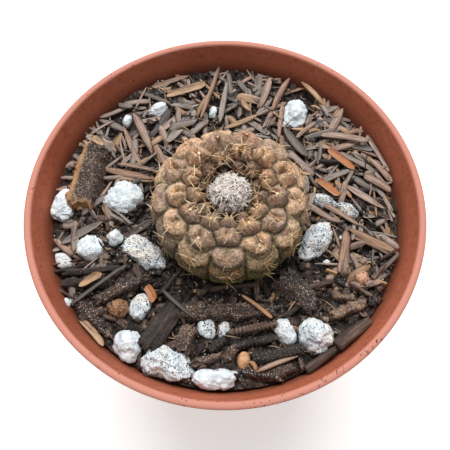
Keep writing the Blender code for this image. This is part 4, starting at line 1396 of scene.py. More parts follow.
@dataclass
class Hulls:
    """Rice hulls: those of the source's rule, those placed by the photograph, and a seeded scatter."""

    ground: Ground
    pot: Pot
    source_count: int = 50
    source_seed: int = 11
    extra_count: int = 430
    source_lift: float = 0.95
    units_per_mm: float = 5.0
    grid: ClosedGrid = ClosedGrid(7, 8)

    def from_source(self) -> Array:
        """Repeats the source's rule, draw by draw.

        Returns:
            A row for each hull: x, y, lift, length and width in mm, turn, pitch, roll and tone.
        """
        draw = random.Random(self.source_seed)
        tones = np.random.default_rng(71).uniform(0.15, 0.85, self.source_count)
        rows = []
        for tone in tones:
            bearing = math.radians(draw.uniform(-35, 215))
            distance = draw.uniform(18.5, 33.0)
            length = draw.uniform(5.8, 8.6)
            width = draw.uniform(1.3, 2.0)
            turn = draw.uniform(0, math.pi)
            pitch = math.radians(draw.uniform(4, 16))
            roll = draw.uniform(-0.5, 0.5)
            x, y = distance * math.cos(bearing), distance * math.sin(bearing)
            rows.append((x, y, self.source_lift, length, width, turn, pitch, roll, tone))
        return np.array(rows)

    def placed(self) -> Array:
        """Turns the hulls placed by the photograph into rows like those of the source's rule."""
        across_1, down_1, across_2, down_2, width, tone, lift = np.array(PLACED_HULLS).T
        height = self.ground.level + lift * MM
        first = VIEW.on_level(across_1, down_1, height) / MM
        run = VIEW.on_level(across_2, down_2, height) / MM - first
        draw = np.random.default_rng(72)
        return np.stack([
            *(first + run / 2).T,
            lift,
            1.04 * np.linalg.norm(run, axis=1),
            width / self.units_per_mm,
            np.arctan2(run[:, 1], run[:, 0]),
            draw.uniform(-0.05, 0.05, len(lift)),
            draw.uniform(-0.25, 0.25, len(lift)),
            tone,
        ], -1)

    def scattered(self) -> Array:
        """Strews more hulls by a seeded rule, behind and beside the plant, in the same rows."""
        draw = np.random.default_rng(73)
        count = self.extra_count
        bearing = np.radians(draw.uniform(-30, 210, count))
        distance = np.sqrt(draw.uniform(17.5**2, 35.5**2, count))
        return np.stack([
            distance * np.cos(bearing),
            distance * np.sin(bearing),
            draw.uniform(-0.1, 1.2, count),
            draw.uniform(3.6, 8.2, count),
            0.5 + 1.2 * draw.uniform(0, 1, count) ** 1.3,
            draw.uniform(0, math.pi, count),
            draw.uniform(-0.22, 0.22, count),
            draw.uniform(-0.6, 0.6, count),
            np.clip(draw.normal(0.44, 0.22, count), 0.02, 0.9),
        ], -1)

    def clear_of_lumps(self, rows: Array, lumps: Array) -> Array:
        """Leaves out the hulls whose middle or half-way points lie on a lump of perlite.

        Args:
            rows: The hulls.
            lumps: x, y and reach of each lump in mm.

        Returns:
            The hulls that stay.
        """
        along = np.stack([np.cos(rows[:, 5]), np.sin(rows[:, 5])], -1) * rows[:, 3:4]
        steps = np.array([-0.45, -0.22, 0.0, 0.22, 0.45])
        spots = rows[:, None, :2] + steps[None, :, None] * along[:, None]
        gap = np.linalg.norm(spots[:, :, None] - lumps[None, None, :, :2], axis=-1) - lumps[:, 2]
        return rows[gap.min((1, 2)) > 0]

    def off_the_wall(self, centre: Array, half: Array) -> Array:
        """Moves hulls inwards until both of their ends are inside the wall.

        Args:
            centre: The middle of each hull in millimetres.
            half: From there to one of its ends.

        Returns:
            The new middles.
        """
        limit = float(self.pot.inner_radius(self.ground.level + 0.6 * MM)) / MM - 0.5
        for end in (half, -half):
            reach = np.linalg.norm(centre + end, axis=1)
            centre = centre - (centre + end) * np.clip(1 - limit / reach, 0, None)[:, None]
        return centre

    def shapes(self, draw: Draw, length: Array, width: Array) -> tuple[Array, Array]:
        """Draws every hull in its own axes, in millimetres.

        A hull's half width is (1 - |end|^p)^0.7 of its widest, where end runs from -1 to 1 along it,
        with p from 2.4, pointed, to 14, cut off. It is narrower at one end, and its ends are cut
        aslant. Its section is a thin crescent, height = 0.45 * half width * (1 - |across|), folded
        at its nerve, open upwards or downwards.

        Args:
            draw: Source of the random numbers.
            length: Length of each hull.
            width: Greatest width of each hull.

        Returns:
            The points of each hull, and the mark for the painted shadow and highlight on its edges.
        """
        count = len(length)
        s = 0.5 - 0.5 * np.cos(math.pi * self.grid.share)
        end = 2 * s - 1
        across = np.cos(self.grid.angle)
        power = 2.4 + 11.6 * draw.uniform(0, 1, count)[:, None] ** 1.6
        spread = np.clip(1 - np.abs(end) ** power, 0, 1) ** 0.7
        spread = spread * (1 + draw.uniform(-0.28, 0.28, count)[:, None] * end)
        flip = np.where(draw.uniform(0, 1, count) < 0.35, -0.7, 1.0)
        bow = draw.uniform(-0.35, 0.35, count)[:, None] * (1 - end**2)
        half_width = width[:, None] / 2 * spread
        slant = draw.uniform(-0.9, 0.9, count)[:, None] * half_width * across * np.abs(end) ** 3
        crown = 0.45 * half_width * (1 - np.abs(across)) * flip[:, None]
        curl = draw.uniform(-0.3, 0.35, count)[:, None] * (1 - end**2)
        own_x = length[:, None] * (s - 0.5) + slant
        own_z = crown + 0.13 * np.sin(self.grid.angle) * spread + curl
        # From -1 on one edge to 1 on the other: painted highlight on the first, painted shadow on the last.
        edge = across * np.abs(across) ** 2 * (spread > 0.02)
        return np.stack([own_x, half_width * across + bow, own_z], -1), edge.ravel()

    def build(self, lumps: Array) -> None:
        """Lays every hull in its place and dresses them as one piece.

        Args:
            lumps: x, y and reach of each lump of perlite in mm.
        """
        loose = self.clear_of_lumps(np.concatenate([self.from_source(), self.scattered()]), lumps)
        rows = np.concatenate([loose, self.placed()])
        x, y, lift, length, width, turn, pitch, roll, tone = rows.T
        count = len(rows)
        half = np.stack([np.cos(turn), np.sin(turn)], -1) * (length / 2 * np.cos(pitch))[:, None]
        x, y = self.off_the_wall(np.stack([x, y], -1), half).T * MM
        draw = np.random.default_rng(74)
        shapes, edge = self.shapes(draw, length, width)
        floor = np.where(np.arange(count) < len(loose), self.ground.height(x, y), self.ground.level)
        places = np.stack([x, y, floor + lift * MM], -1)
        points = strewn(shapes * MM, frames_from_angles(roll, pitch, turn), places)
        size = shapes.shape[1]
        marks = {
            "grain": shapes.reshape(-1, 3) + per_point(draw.uniform(0, 90, (count, 1)), size),
            "tone": np.clip(per_point(tone, size), 0, 1),
            "edge": edge,
        }
        hulls = Surface(points, *self.grid.faces(count), marks)
        hulls.piece("rice_hulls", HullSkin().make(), "potting_mix")


# Crumbs of perlite in the photograph: across and down its picture, and their length in millimetres.
PERLITE_CRUMBS = ((327, 262, 1.5), (341, 238, 1.1), (67, 302, 1.9), (137, 270, 1.3))


@dataclass
class Crumbs:
    """Loose grains on the mix: dark crumb, and pale grit and crumbs that came off the perlite."""

    ground: Ground
    grid: ClosedGrid = ClosedGrid(2, 6)

    def grains(self, count: int, sizes: Span, seed: int) -> tuple[Array, Array]:
        """Strews small angular grains over the mix, outside the cactus.

        A grain is a ball of few faces whose points are pulled in and out at random.

        Args:
            count: How many are drawn before those under the cactus are left out.
            sizes: Least and greatest length in millimetres.
            seed: Seed of the draw.

        Returns:
            The points of all grains, and a random number from 0 to 1 for each grain.
        """
        draw = np.random.default_rng(seed)
        ball = self.grid.directions()
        x, y = self.ground.strew(draw, draw.uniform(0, FULL_TURN, count), (0.0, 36.0), 14.0)
        count = len(x)
        size = sizes[0] + (sizes[1] - sizes[0]) * draw.uniform(0, 1, count) ** 2.5
        stretch = draw.uniform(0.55, 1.0, (count, 1, 3))
        pull = draw.uniform(0.7, 1.2, (count, len(ball), 1))
        shapes = ball[None] * stretch * pull * size[:, None, None] / 2 * MM
        frames = frames_from_angles(*draw.uniform(-math.pi, math.pi, (3, count)))
        z = self.ground.height(x, y) + (draw.uniform(-0.2, 0.5, count) + 0.2 * size) * MM
        return strewn(shapes, frames, np.stack([x, y, z], -1)), draw.uniform(0, 1, count)

    def placed(self, perlite: Material) -> None:
        """Draws the crumbs of perlite that the photograph shows, each a ball scaled by smooth noise.

        Args:
            perlite: The material of the perlite.
        """
        across, down, length = np.array(PERLITE_CRUMBS).T
        grid = ClosedGrid(9, 14)
        ball = grid.directions()
        count = len(length)
        x, y = VIEW.on_level(across, down, np.full(count, self.ground.level + 0.8 * MM)).T
        swell = 1 + 0.25 * np.stack([value_noise(ball, 0.8, 90 + index) for index in range(count)])
        shapes = ball[None] * (1.0, 0.8, 0.8) * (swell * length[:, None])[..., None] / 2 * MM
        frames = frames_from_angles(np.zeros(count), np.zeros(count), np.arange(count) * 1.0)
        points = strewn(shapes, frames, np.stack([x, y, self.ground.height(x, y) + 0.4 * length * MM], -1))
        none = np.zeros(len(points))
        marks = {"pit": none, "pocked": none + 0.4, "low": none}
        Surface(points, *grid.faces(count), marks).piece("perlite_crumbs", perlite, "perlite")

    def build(self, perlite: Material) -> None:
        """Dresses the dark crumb, the pale grit and the crumbs of perlite.

        Args:
            perlite: The material of the perlite.
        """
        size = len(self.grid.share)
        points, luck = self.grains(3000, (0.3, 1.5), 81)
        marks = {"tone": per_point(0.06 + 0.94 * luck**2.6, size)}
        crumb = Surface(points, *self.grid.faces(len(luck)), marks)
        crumb.piece("dark_crumb", SoilCrumb().make(), "potting_mix")
        points, luck = self.grains(420, (0.16, 0.5), 82)
        none = np.zeros(len(points))
        marks = {"pit": none, "pocked": none, "low": per_point(luck * 0.9, size)}
        Surface(points, *self.grid.faces(len(luck)), marks).piece("pale_grit", perlite, "perlite")
        self.placed(perlite)


@dataclass(frozen=True)
class Grain:
    """A lump or prill: its place and three sizes in millimetres, and its turn in degrees."""

    x: float
    y: float
    length: float
    width: float
    height: float
    turn: float
    pits: float = 0.6
    tone: float = 1.0
    waist: float = 0.0
    blush: float = 0.0


PERLITE = tuple(Grain(*row) for row in (
    (-34.15, 0.9, 7.6, 4.6, 4.2, 80, 0.05), (-21.2, 2.2, 7.4, 7.2, 5.6, 10, 0.3),
    (-27.2, -8.9, 5.4, 5.2, 4.6, 20, 0.35), (-22.9, -6.5, 3.8, 3.4, 3.0, 40, 0.5),
    (-16.5, -9.6, 10.0, 5.8, 4.8, -35, 1.0, 1.0, 0.1), (-32.9, -11.1, 3.9, 3.1, 2.8, -35, 0.5),
    (-16.3, -20.6, 5.6, 4.2, 3.4, 65, 0.9), (-18.3, -28.0, 6.0, 5.4, 4.8, 100, 0.05),
    (-10.9, -31.5, 10.0, 6.4, 5.0, -22, 0.8, 1.0, 0.14), (-1.9, -34.3, 8.3, 4.0, 3.9, 2, 0.05, 1.0, 0.12),
    (-3.5, -25.0, 4.5, 3.2, 2.9, 100, 0.9), (-0.2, -25.1, 4.2, 2.4, 2.2, 75, 0.9),
    (11.5, -25.6, 4.9, 3.5, 3.6, -65, 0.5), (16.8, -26.1, 6.8, 6.0, 5.2, -30, 0.6),
    (18.7, -7.2, 8.6, 5.4, 5.0, 52, 0.95), (20.9, 1.9, 5.2, 3.1, 2.6, -12, 1.2),
    (25.9, -0.4, 4.7, 3.2, 2.6, -32, 1.2), (16.2, 23.8, 7.4, 6.0, 4.6, 75, 0.05),
    (-15.1, 25.2, 4.5, 3.4, 3.0, 15, 0.1), (-22.4, 22.8, 3.2, 2.3, 2.2, 70, 0.05),
    (-2.7, 24.5, 3.2, 1.9, 1.9, 85, 0.05),
))

PRILLS = tuple(Grain(*row) for row in (
    (-31.2, -8.7, 1.8, 1.8, 1.8, 0, 0.5, 1.1), (-30.4, 0.3, 1.9, 1.9, 1.9, 0, 0.3, 1.3),
    (-20.6, -21.3, 3.8, 3.8, 3.8, 0, 1.3, 0.3), (3.5, -31.0, 3.4, 2.5, 2.6, 80, 0.2, 1.5),
    (27.3, -15.0, 3.0, 3.0, 3.0, 0, 0.95, 1.1, 0.0, 0.8),
))


@dataclass
class Grit:
    """The perlite lumps and feed prills: the source's shapes, drawn finely, with lobes and pits."""

    ground: Ground
    knobs: float = 0.2
    knob_wave: float = 0.9
    first_seed: int = 40
    perlite_rise: float = 0.12
    prill_rise: float = 0.2

    def at(self, grain: Grain, shape: Array, rise: float) -> Array:
        """Stands a grain, drawn in millimetres, on the mix, its middle a share of its height up."""
        place = self.ground.spot(grain.x, grain.y, rise * grain.height)
        return stood(shape * MM, place, math.radians(grain.turn))

    def lump(self, index: int, grain: Grain) -> Surface:
        """Draws one lump of perlite in its place.

        The source's knobbly ball is taken first. Its radius is then scaled by rough noise for
        lobes, pits are cut where strewn points are near, and cracks where a noise is close to 0.

        Args:
            index: Number of the lump, which seeds its shape.
            grain: The lump.

        Returns:
            The lump's surface.
        """
        grid = ClosedGrid(int(20 + 4.4 * grain.length), int(30 + 6.6 * grain.length))
        ball = grid.directions()
        seed = self.first_seed + index
        shape = 1 + self.knobs * value_noise(ball, self.knob_wave, seed)
        own = ball * shape[:, None] * (grain.length, grain.width, grain.height) / 2
        pocked = min(grain.pits, 1.0)
        lobes = 0.06 * (1 + pocked) * rough_noise(own, 2.2, seed + 100, 2)
        lobes = lobes + 0.09 * rough_noise(own, 0.8, seed + 200, 3)
        bumps, _ = cell_noise(own, 1.15, seed + 150)
        gap, tag = cell_noise(own, 0.7, seed + 300)
        pit = (1 - blend(0.12, 0.36, gap)) * (tag < 0.25 + 0.5 * grain.pits) * pocked
        waist = grain.waist * np.exp(-((ball[:, 0] / 0.22) ** 2))
        bulge = 0.09 * (0.5 - bumps**1.5) * 5.0 / (2.0 + grain.length)
        broken = blend(0.6, 1.4, grain.pits) * blend(0.1, 0.5, value_noise(own, 2.6, seed + 500))
        crack = (1 - blend(0.02, 0.13, np.abs(rough_noise(own, 1.5, seed + 400, 2)))) * broken
        own = own * (1 + lobes + bulge - waist - 0.05 * pit - 0.07 * crack)[:, None]
        dusty = 0.8 * blend(1.0, 1.2, grain.pits) * blend(-0.2, 0.3, value_noise(own, 0.9, seed + 600))
        marks = {
            "pit": np.maximum(0.6 * pit, 0.95 * crack),
            "pocked": np.full(len(ball), pocked),
            "low": np.maximum(1 - blend(-0.6, -0.1, ball[:, 2] + 0.3 * lobes), dusty),
        }
        return Surface(self.at(grain, own, self.perlite_rise), *grid.faces(), marks)

    def prill(self, grain: Grain, seed: int) -> Surface:
        """Draws one prill in its place: a ball with low scales, where strewn points are near.

        Args:
            grain: The prill.
            seed: Seed of its scales.

        Returns:
            The prill's surface.
        """
        grid = ClosedGrid(30, 44)
        ball = grid.directions()
        gap, _ = cell_noise(ball, 0.5, seed)
        scaly = 0.05 + 0.09 * blend(0.6, 1.2, grain.pits)
        swell = 1 + scaly * (0.5 - gap) + scaly * rough_noise(ball, 0.6, seed + 1, 2)
        own = ball * swell[:, None] * (grain.length, grain.width, grain.height) / 2
        flat = np.ones(len(ball))
        marks = {"tone": flat * grain.tone, "scurf": flat * grain.pits, "blush": flat * grain.blush}
        return Surface(self.at(grain, own, self.prill_rise), *grid.faces(), marks)

    def build(self) -> Material:
        """Dresses every lump and prill.

        Returns:
            The perlite's material, which the pale grit shares.
        """
        perlite = PerliteSkin().make()
        for index, grain in enumerate(PERLITE):
            number = f"{index + 1:02d}"
            self.lump(index, grain).piece(f"perlite_lump_{number}", perlite, "perlite", f"perlite_{number}")
        coat = PrillSkin().make()
        for index, grain in enumerate(PRILLS):
            name = f"feed_prill_{index + 1}"
            self.prill(grain, 500 + index).piece(f"{name}_grain", coat, "feed_prill", name)
        return perlite


class Meridian:
    """The cactus's meridian as a smooth curve through its points, by the distance run from the crown."""

    KEYS = (
        (0.0, 1.6), (2.9, 1.6), (4.8, 2.6), (5.9, 4.4), (7.6, 5.9), (9.9, 6.3), (12.2, 5.0), (13.8, 2.5),
        (14.4, 0.0), (14.3, -3.0), (13.3, -6.3), (11.0, -9.5), (7.1, -12.3), (3.8, -15.4), (2.7, -22.0),
        (1.7, -31.0), (0.0, -38.0),
    )

    def __init__(self) -> None:
        """Blends places and slopes between the points, as (2t^3 - 3t^2 + 1) and its partners."""
        keys = np.array(self.KEYS) * MM
        chord = np.concatenate([[0], np.cumsum(np.hypot(*np.diff(keys, axis=0).T))])
        slope = np.gradient(keys, chord, axis=0)
        slope[0] = (1, 0)
        fine = np.linspace(0, chord[-1], 600)
        span = np.clip(np.searchsorted(chord, fine, side="right") - 1, 0, len(chord) - 2)
        gap = (chord[span + 1] - chord[span])[:, None]
        part = (fine - chord[span])[:, None] / gap
        curve = (
            (2 * part**3 - 3 * part**2 + 1) * keys[span]
            + (part**3 - 2 * part**2 + part) * gap * slope[span]
            + (3 * part**2 - 2 * part**3) * keys[span + 1]
            + (part**3 - part**2) * gap * slope[span + 1]
        )
        self.run = np.concatenate([[0], np.cumsum(np.hypot(*np.diff(curve, axis=0).T))])
        self.radius = np.maximum(curve[:, 0], 0)
        self.height = curve[:, 1]
        turn = np.gradient(curve, self.run, axis=0)
        self.normal = np.stack([-turn[:, 1], turn[:, 0]], 1) / np.hypot(*turn.T)[:, None]

    def at(self, run: Array) -> tuple[Array, Array, Array, Array]:
        """Radius, height, and the outward normal's radial and upward parts, by the run from the crown."""
        return (
            np.interp(run, self.run, self.radius),
            np.interp(run, self.run, self.height),
            np.interp(run, self.run, self.normal[:, 0]),
            np.interp(run, self.run, self.normal[:, 1]),
        )


@dataclass(frozen=True)
class Nearby:
    """What lies round each point of the skin.

    Attributes:
        owner: Number of the nearest tubercle.
        side: Place across it, in its half widths.
        lean: Place along it, from -1 to 1.
        gap: Distance to its middle, in its half sizes.
        apart: How much farther away the next middle is.
        scale: Number of the scale that covers the point.
        rise: Place along that scale, which is 1 at its lower edge.
        past: How far the point lies below the edge of the scale above.
    """

    owner: Array
    side: Array
    lean: Array
    gap: Array
    apart: Array
    scale: Array
    rise: Array
    past: Array


@dataclass(frozen=True)
class Relief:
    """The skin's relief at each point.

    Attributes:
        rise: How far it stands out.
        crease: How much painted shade lies at the point, from 0 to 1, deepest in the creases.
        inside: How far the point is from its tubercle's bounds, from 0 to 1.
        owner: Number of its tubercle.
    """

    rise: Array
    crease: Array
    inside: Array
    owner: Array


@dataclass
class Tubercles:
    """Where the tubercles stand: number n is on rib 5n mod 13, and the pitch grows towards the soil."""

    meridian: Meridian
    ribs: int = 13
    rib_step: int = 5
    rib_phase: float = math.radians(-92)
    rib_height: float = 0.5 * MM
    count: int = 78
    first: float = 5.6 * MM
    pitch_at_crown: float = 2.6 * MM
    pitch_at_soil: float = 4.5 * MM
    scaly: Span = (12.4 * MM, 16.0 * MM)
    margin: float = 3 * MM
    height_shares: tuple[float, ...] = (0.0, 0.15, 0.32, 0.5, 0.65, 0.8, 1.0)
    heights: tuple[float, ...] = (0.8, 1.3, 1.65, 1.45, 1.0, 0.7, 0.45)

    def __post_init__(self) -> None:
        """Works out the angle, run, half sizes and height of every tubercle."""
        number = np.arange(self.count)
        share = number / (self.count - 1)
        growth = (self.pitch_at_soil - self.pitch_at_crown) / 2
        per_rib = self.count / self.ribs
        self.run = self.first + per_rib * (self.pitch_at_crown * share + growth * share**2)
        self.angle = FULL_TURN * ((self.rib_step * number) % self.ribs) / self.ribs + self.rib_phase
        self.half_width = 0.52 * FULL_TURN * self.meridian.at(self.run)[0] / self.ribs
        self.half_length = 0.5 * np.gradient(self.run) * self.ribs
        draw = np.random.default_rng(607)
        height = np.interp(share, self.height_shares, self.heights) * MM
        self.height = height * draw.uniform(0.88, 1.1, self.count)
        self.cleft = draw.uniform(0.2, 0.75, self.count)
        self.end = self.run[-1] + self.margin

    def search(self, angle: Array, run: Array) -> Nearby:
        """Finds the tubercle and the scale that each point belongs to.

        With u across and v along from a tubercle's middle, in its half sizes, a point belongs to
        the nearest tubercle, and to the uppermost scale of its rib whose lower edge, the curve
        v + 1.1 * u^2 = 0.85, lies below it.

        Args:
            angle: Angle of each point round the plant.
            run: Distance of each point from the crown.

        Returns:
            What lies round each point.
        """
        radius = np.maximum(self.meridian.at(run)[0], 1 * MM)
        nearest, second, past = np.full((3, len(run)), 9.0)
        lean, side = np.zeros((2, len(run)))
        owner = np.zeros(len(run), int)
        scale = np.full(len(run), -1)
        rise = np.ones(len(run))
        for n in range(self.count):
            turn = (angle - self.angle[n] + math.pi) % FULL_TURN - math.pi
            across = turn * radius / self.half_width[n]
            along = (run - self.run[n]) / self.half_length[n]
            gap = np.hypot(across, along)
            closer = gap < nearest
            second = np.where(closer, nearest, np.minimum(second, gap))
            owner = np.where(closer, n, owner)
            lean = np.where(closer, along, lean)
            side = np.where(closer, across, side)
            nearest = np.minimum(nearest, gap)
            on_rib = np.abs(turn) <= math.pi / self.ribs
            edge = along + 1.1 * across**2 + 0.15
            taken = on_rib & (edge < 1) & (scale < 0)
            scale = np.where(taken, n, scale)
            rise = np.where(taken, edge, rise)
            past = np.where(on_rib & (edge >= 1), np.minimum(past, edge - 1), past)
        lean = np.clip(lean, -1, 1)
        return Nearby(owner, side, lean, nearest, second - nearest, np.maximum(scale, 0), rise, past)

    def relief(self, angle: Array, run: Array) -> Relief:
        """How far the skin stands out, on knobs that go over to overlapping scales below.

        With u and v as in the search, and e for how much farther away the next tubercle is, a knob
        is (1 - (1 - e/1.2)^2) * (0.6 + 0.5 * lobes). The lobes are bells at u = -0.4 and 0.4, parted
        by a cleft, and a chin at v = 0.4. A scale rises towards its lower edge, casts a dark crescent
        of painted shade on the next one, with a fainter arc below it, and is parted from the next rib
        by a groove. The crease mark is painted shade round the knobs, deeper on their lower sides and
        in their clefts, and in the scales' crescents and grooves.

        Args:
            angle: Angle of each point round the plant.
            run: Distance of each point from the crown.

        Returns:
            The relief.
        """
        near = self.search(angle, run)
        owner, side, lean = near.owner, near.side, near.lean
        inside = np.clip(near.apart / 0.62, 0, 1)
        pair = np.exp(-((np.abs(side) - 0.4) ** 2) / 0.08 - (lean + 0.2) ** 2 / 0.24)
        chin = np.exp(-(side**2) / 0.2 - (lean - 0.4) ** 2 / 0.16)
        knob = (1 - (1 - np.clip(near.apart / 1.2, 0, 1)) ** 2) * (0.6 + 0.5 * np.maximum(pair, chin))
        cleft = np.exp(-((side / 0.16) ** 2)) * blend(0.3, -0.2, lean) * self.cleft[owner]
        dimple = 0.2 * np.exp(-((near.gap / 0.2) ** 2))
        groove = np.abs(2 * (((angle - self.rib_phase) / (FULL_TURN / self.ribs) + 0.5) % 1 - 0.5))
        arcs = np.maximum(np.exp(-near.past / 0.18), 0.7 * np.exp(-(((near.past - 0.62) / 0.12) ** 2)))
        crescent = arcs * (1 - blend(0.75, 1.0, groove))
        plate = 0.55 + 0.4 * blend(-0.7, 0.8, near.rise) - 0.3 * blend(0.82, 1.0, near.rise)
        plate = plate * (1 - 0.35 * groove**8) - 0.16 * crescent
        flat = blend(*self.scaly, run)
        form = 1.12 * (1 - flat) * self.height[owner] * np.clip(knob - cleft * inside - dimple, 0, 2)
        form = form + flat * self.height[near.scale] * plate
        rib = self.rib_height * (1 - (1 - flat) * groove**3 - 0.5 * flat * groove**12)
        fade = np.clip((self.end - run) / self.margin, 0, 1)
        fade = fade * np.clip((run - 5.0 * MM) / (2.0 * MM), 0, 1)
        # Painted shade: darkest at each knob's bounds, more so on its lower side, in its cleft and over its
        # lower half, and on the scales in their crescents and grooves.
        round_knob = (1 - blend(0.06, 0.66, inside)) * (0.74 + 0.26 * blend(-0.3, 0.4, lean))
        round_knob = np.maximum(round_knob, 1.1 * cleft * inside)
        round_scale = np.maximum(crescent, 0.85 * blend(0.88, 1.0, groove))
        under = blend(0.0, 0.8, lean)
        crease = (1 - flat) * np.maximum(round_knob, 0.55 * under) + flat * round_scale
        return Relief((form + rib) * fade, np.clip(crease, 0, 1), inside, owner)


# Areoles that show cream in the photograph: across and down its picture.
CREAM_AREOLES = (
    (183, 216), (195, 241), (258, 239), (272, 195), (191, 158), (272, 172), (188, 149), (200, 163),
)

# Rusty spots of the skin in the photograph: across, down and reach in its picture.
RUSTY_SPOTS = (
    (257, 232, 8), (267, 170, 8), (246, 139, 9), (181, 208, 6), (222, 147, 6), (288, 186, 7), (171, 163, 5),
)

# Long pale spines of the photograph: root and tip, across and down its picture.
PLACED_SPINES = (
    (225, 158, 205, 155), (218, 165, 227, 164), (224, 150, 230, 144), (229, 157, 236, 163),
    (240, 145, 255, 142), (255, 159, 264, 153), (262, 179, 272, 191), (272, 191, 279, 195),
    (289, 188, 297, 200), (269, 224, 286, 211), (241, 231, 254, 220), (258, 239, 263, 244),
    (192, 205, 184, 200), (196, 206, 188, 212), (195, 187, 186, 177), (181, 190, 181, 184),
    (196, 242, 203, 254), (233, 273, 228, 281), (233, 273, 243, 277), (195, 165, 194, 176),
    (207, 178, 213, 172), (201, 181, 210, 185), (241, 145, 240, 133), (241, 145, 229, 143),
    (274, 196, 273, 206), (274, 196, 284, 192), (200, 215, 198, 206), (200, 215, 205, 202),
    (251, 186, 243, 181), (214, 222, 222, 213), (292, 228, 289, 222), (186, 170, 176, 168),
    (268, 229, 272, 219), (250, 222, 240, 226), (174, 173, 166, 170), (280, 173, 274, 168),
)


@dataclass
class Fibres:
    """Tapered fibres, such as spines and wool.

    Attributes:
        roots: Start of each fibre.
        ways: Direction of each fibre.
        bend: Sideways and upward bend of each fibre, as a share of its length.
        length: Length of each fibre.
        thick: Radius of each fibre at its root.
        tone: Tone of each fibre at its root.
    """

    roots: Array
    ways: Array
    bend: Array
    length: Array
    thick: Array
    tone: Array

    def surface(self, rings: int, sides: int, paler: float = 0.0) -> Surface:
        """Draws every fibre, and keeps it below the top of the CAD box.

        In its own axes a fibre is x = length * s, bent by length * bend * s^2, with a round section
        of radius thick * (1 - s)^0.6.

        Args:
            rings: Rings on a fibre.
            sides: Sides of its section.
            paler: How much its tone rises to its tip.

        Returns:
            All fibres as one surface.
        """
        grid = ClosedGrid(rings, sides)
        s = grid.share
        radius = self.thick[:, None] * (1 - s) ** 0.6 * ((s > 0) & (s < 1))
        bow = (self.length[:, None] * self.bend)[:, :, None] * s**2
        own_y = radius * np.cos(grid.angle) + bow[:, 0]
        own_z = radius * np.sin(grid.angle) + bow[:, 1]
        shapes = np.stack([self.length[:, None] * s, own_y, own_z], -1)
        points = strewn(shapes, frames_along(self.ways), self.roots)
        points[:, 2] = np.minimum(points[:, 2], FIBRE_TOP)
        tone = (self.tone[:, None] + paler * s).ravel()
        return Surface(points, *grid.faces(len(self.roots)), {"tone": np.clip(tone, 0, 1)})


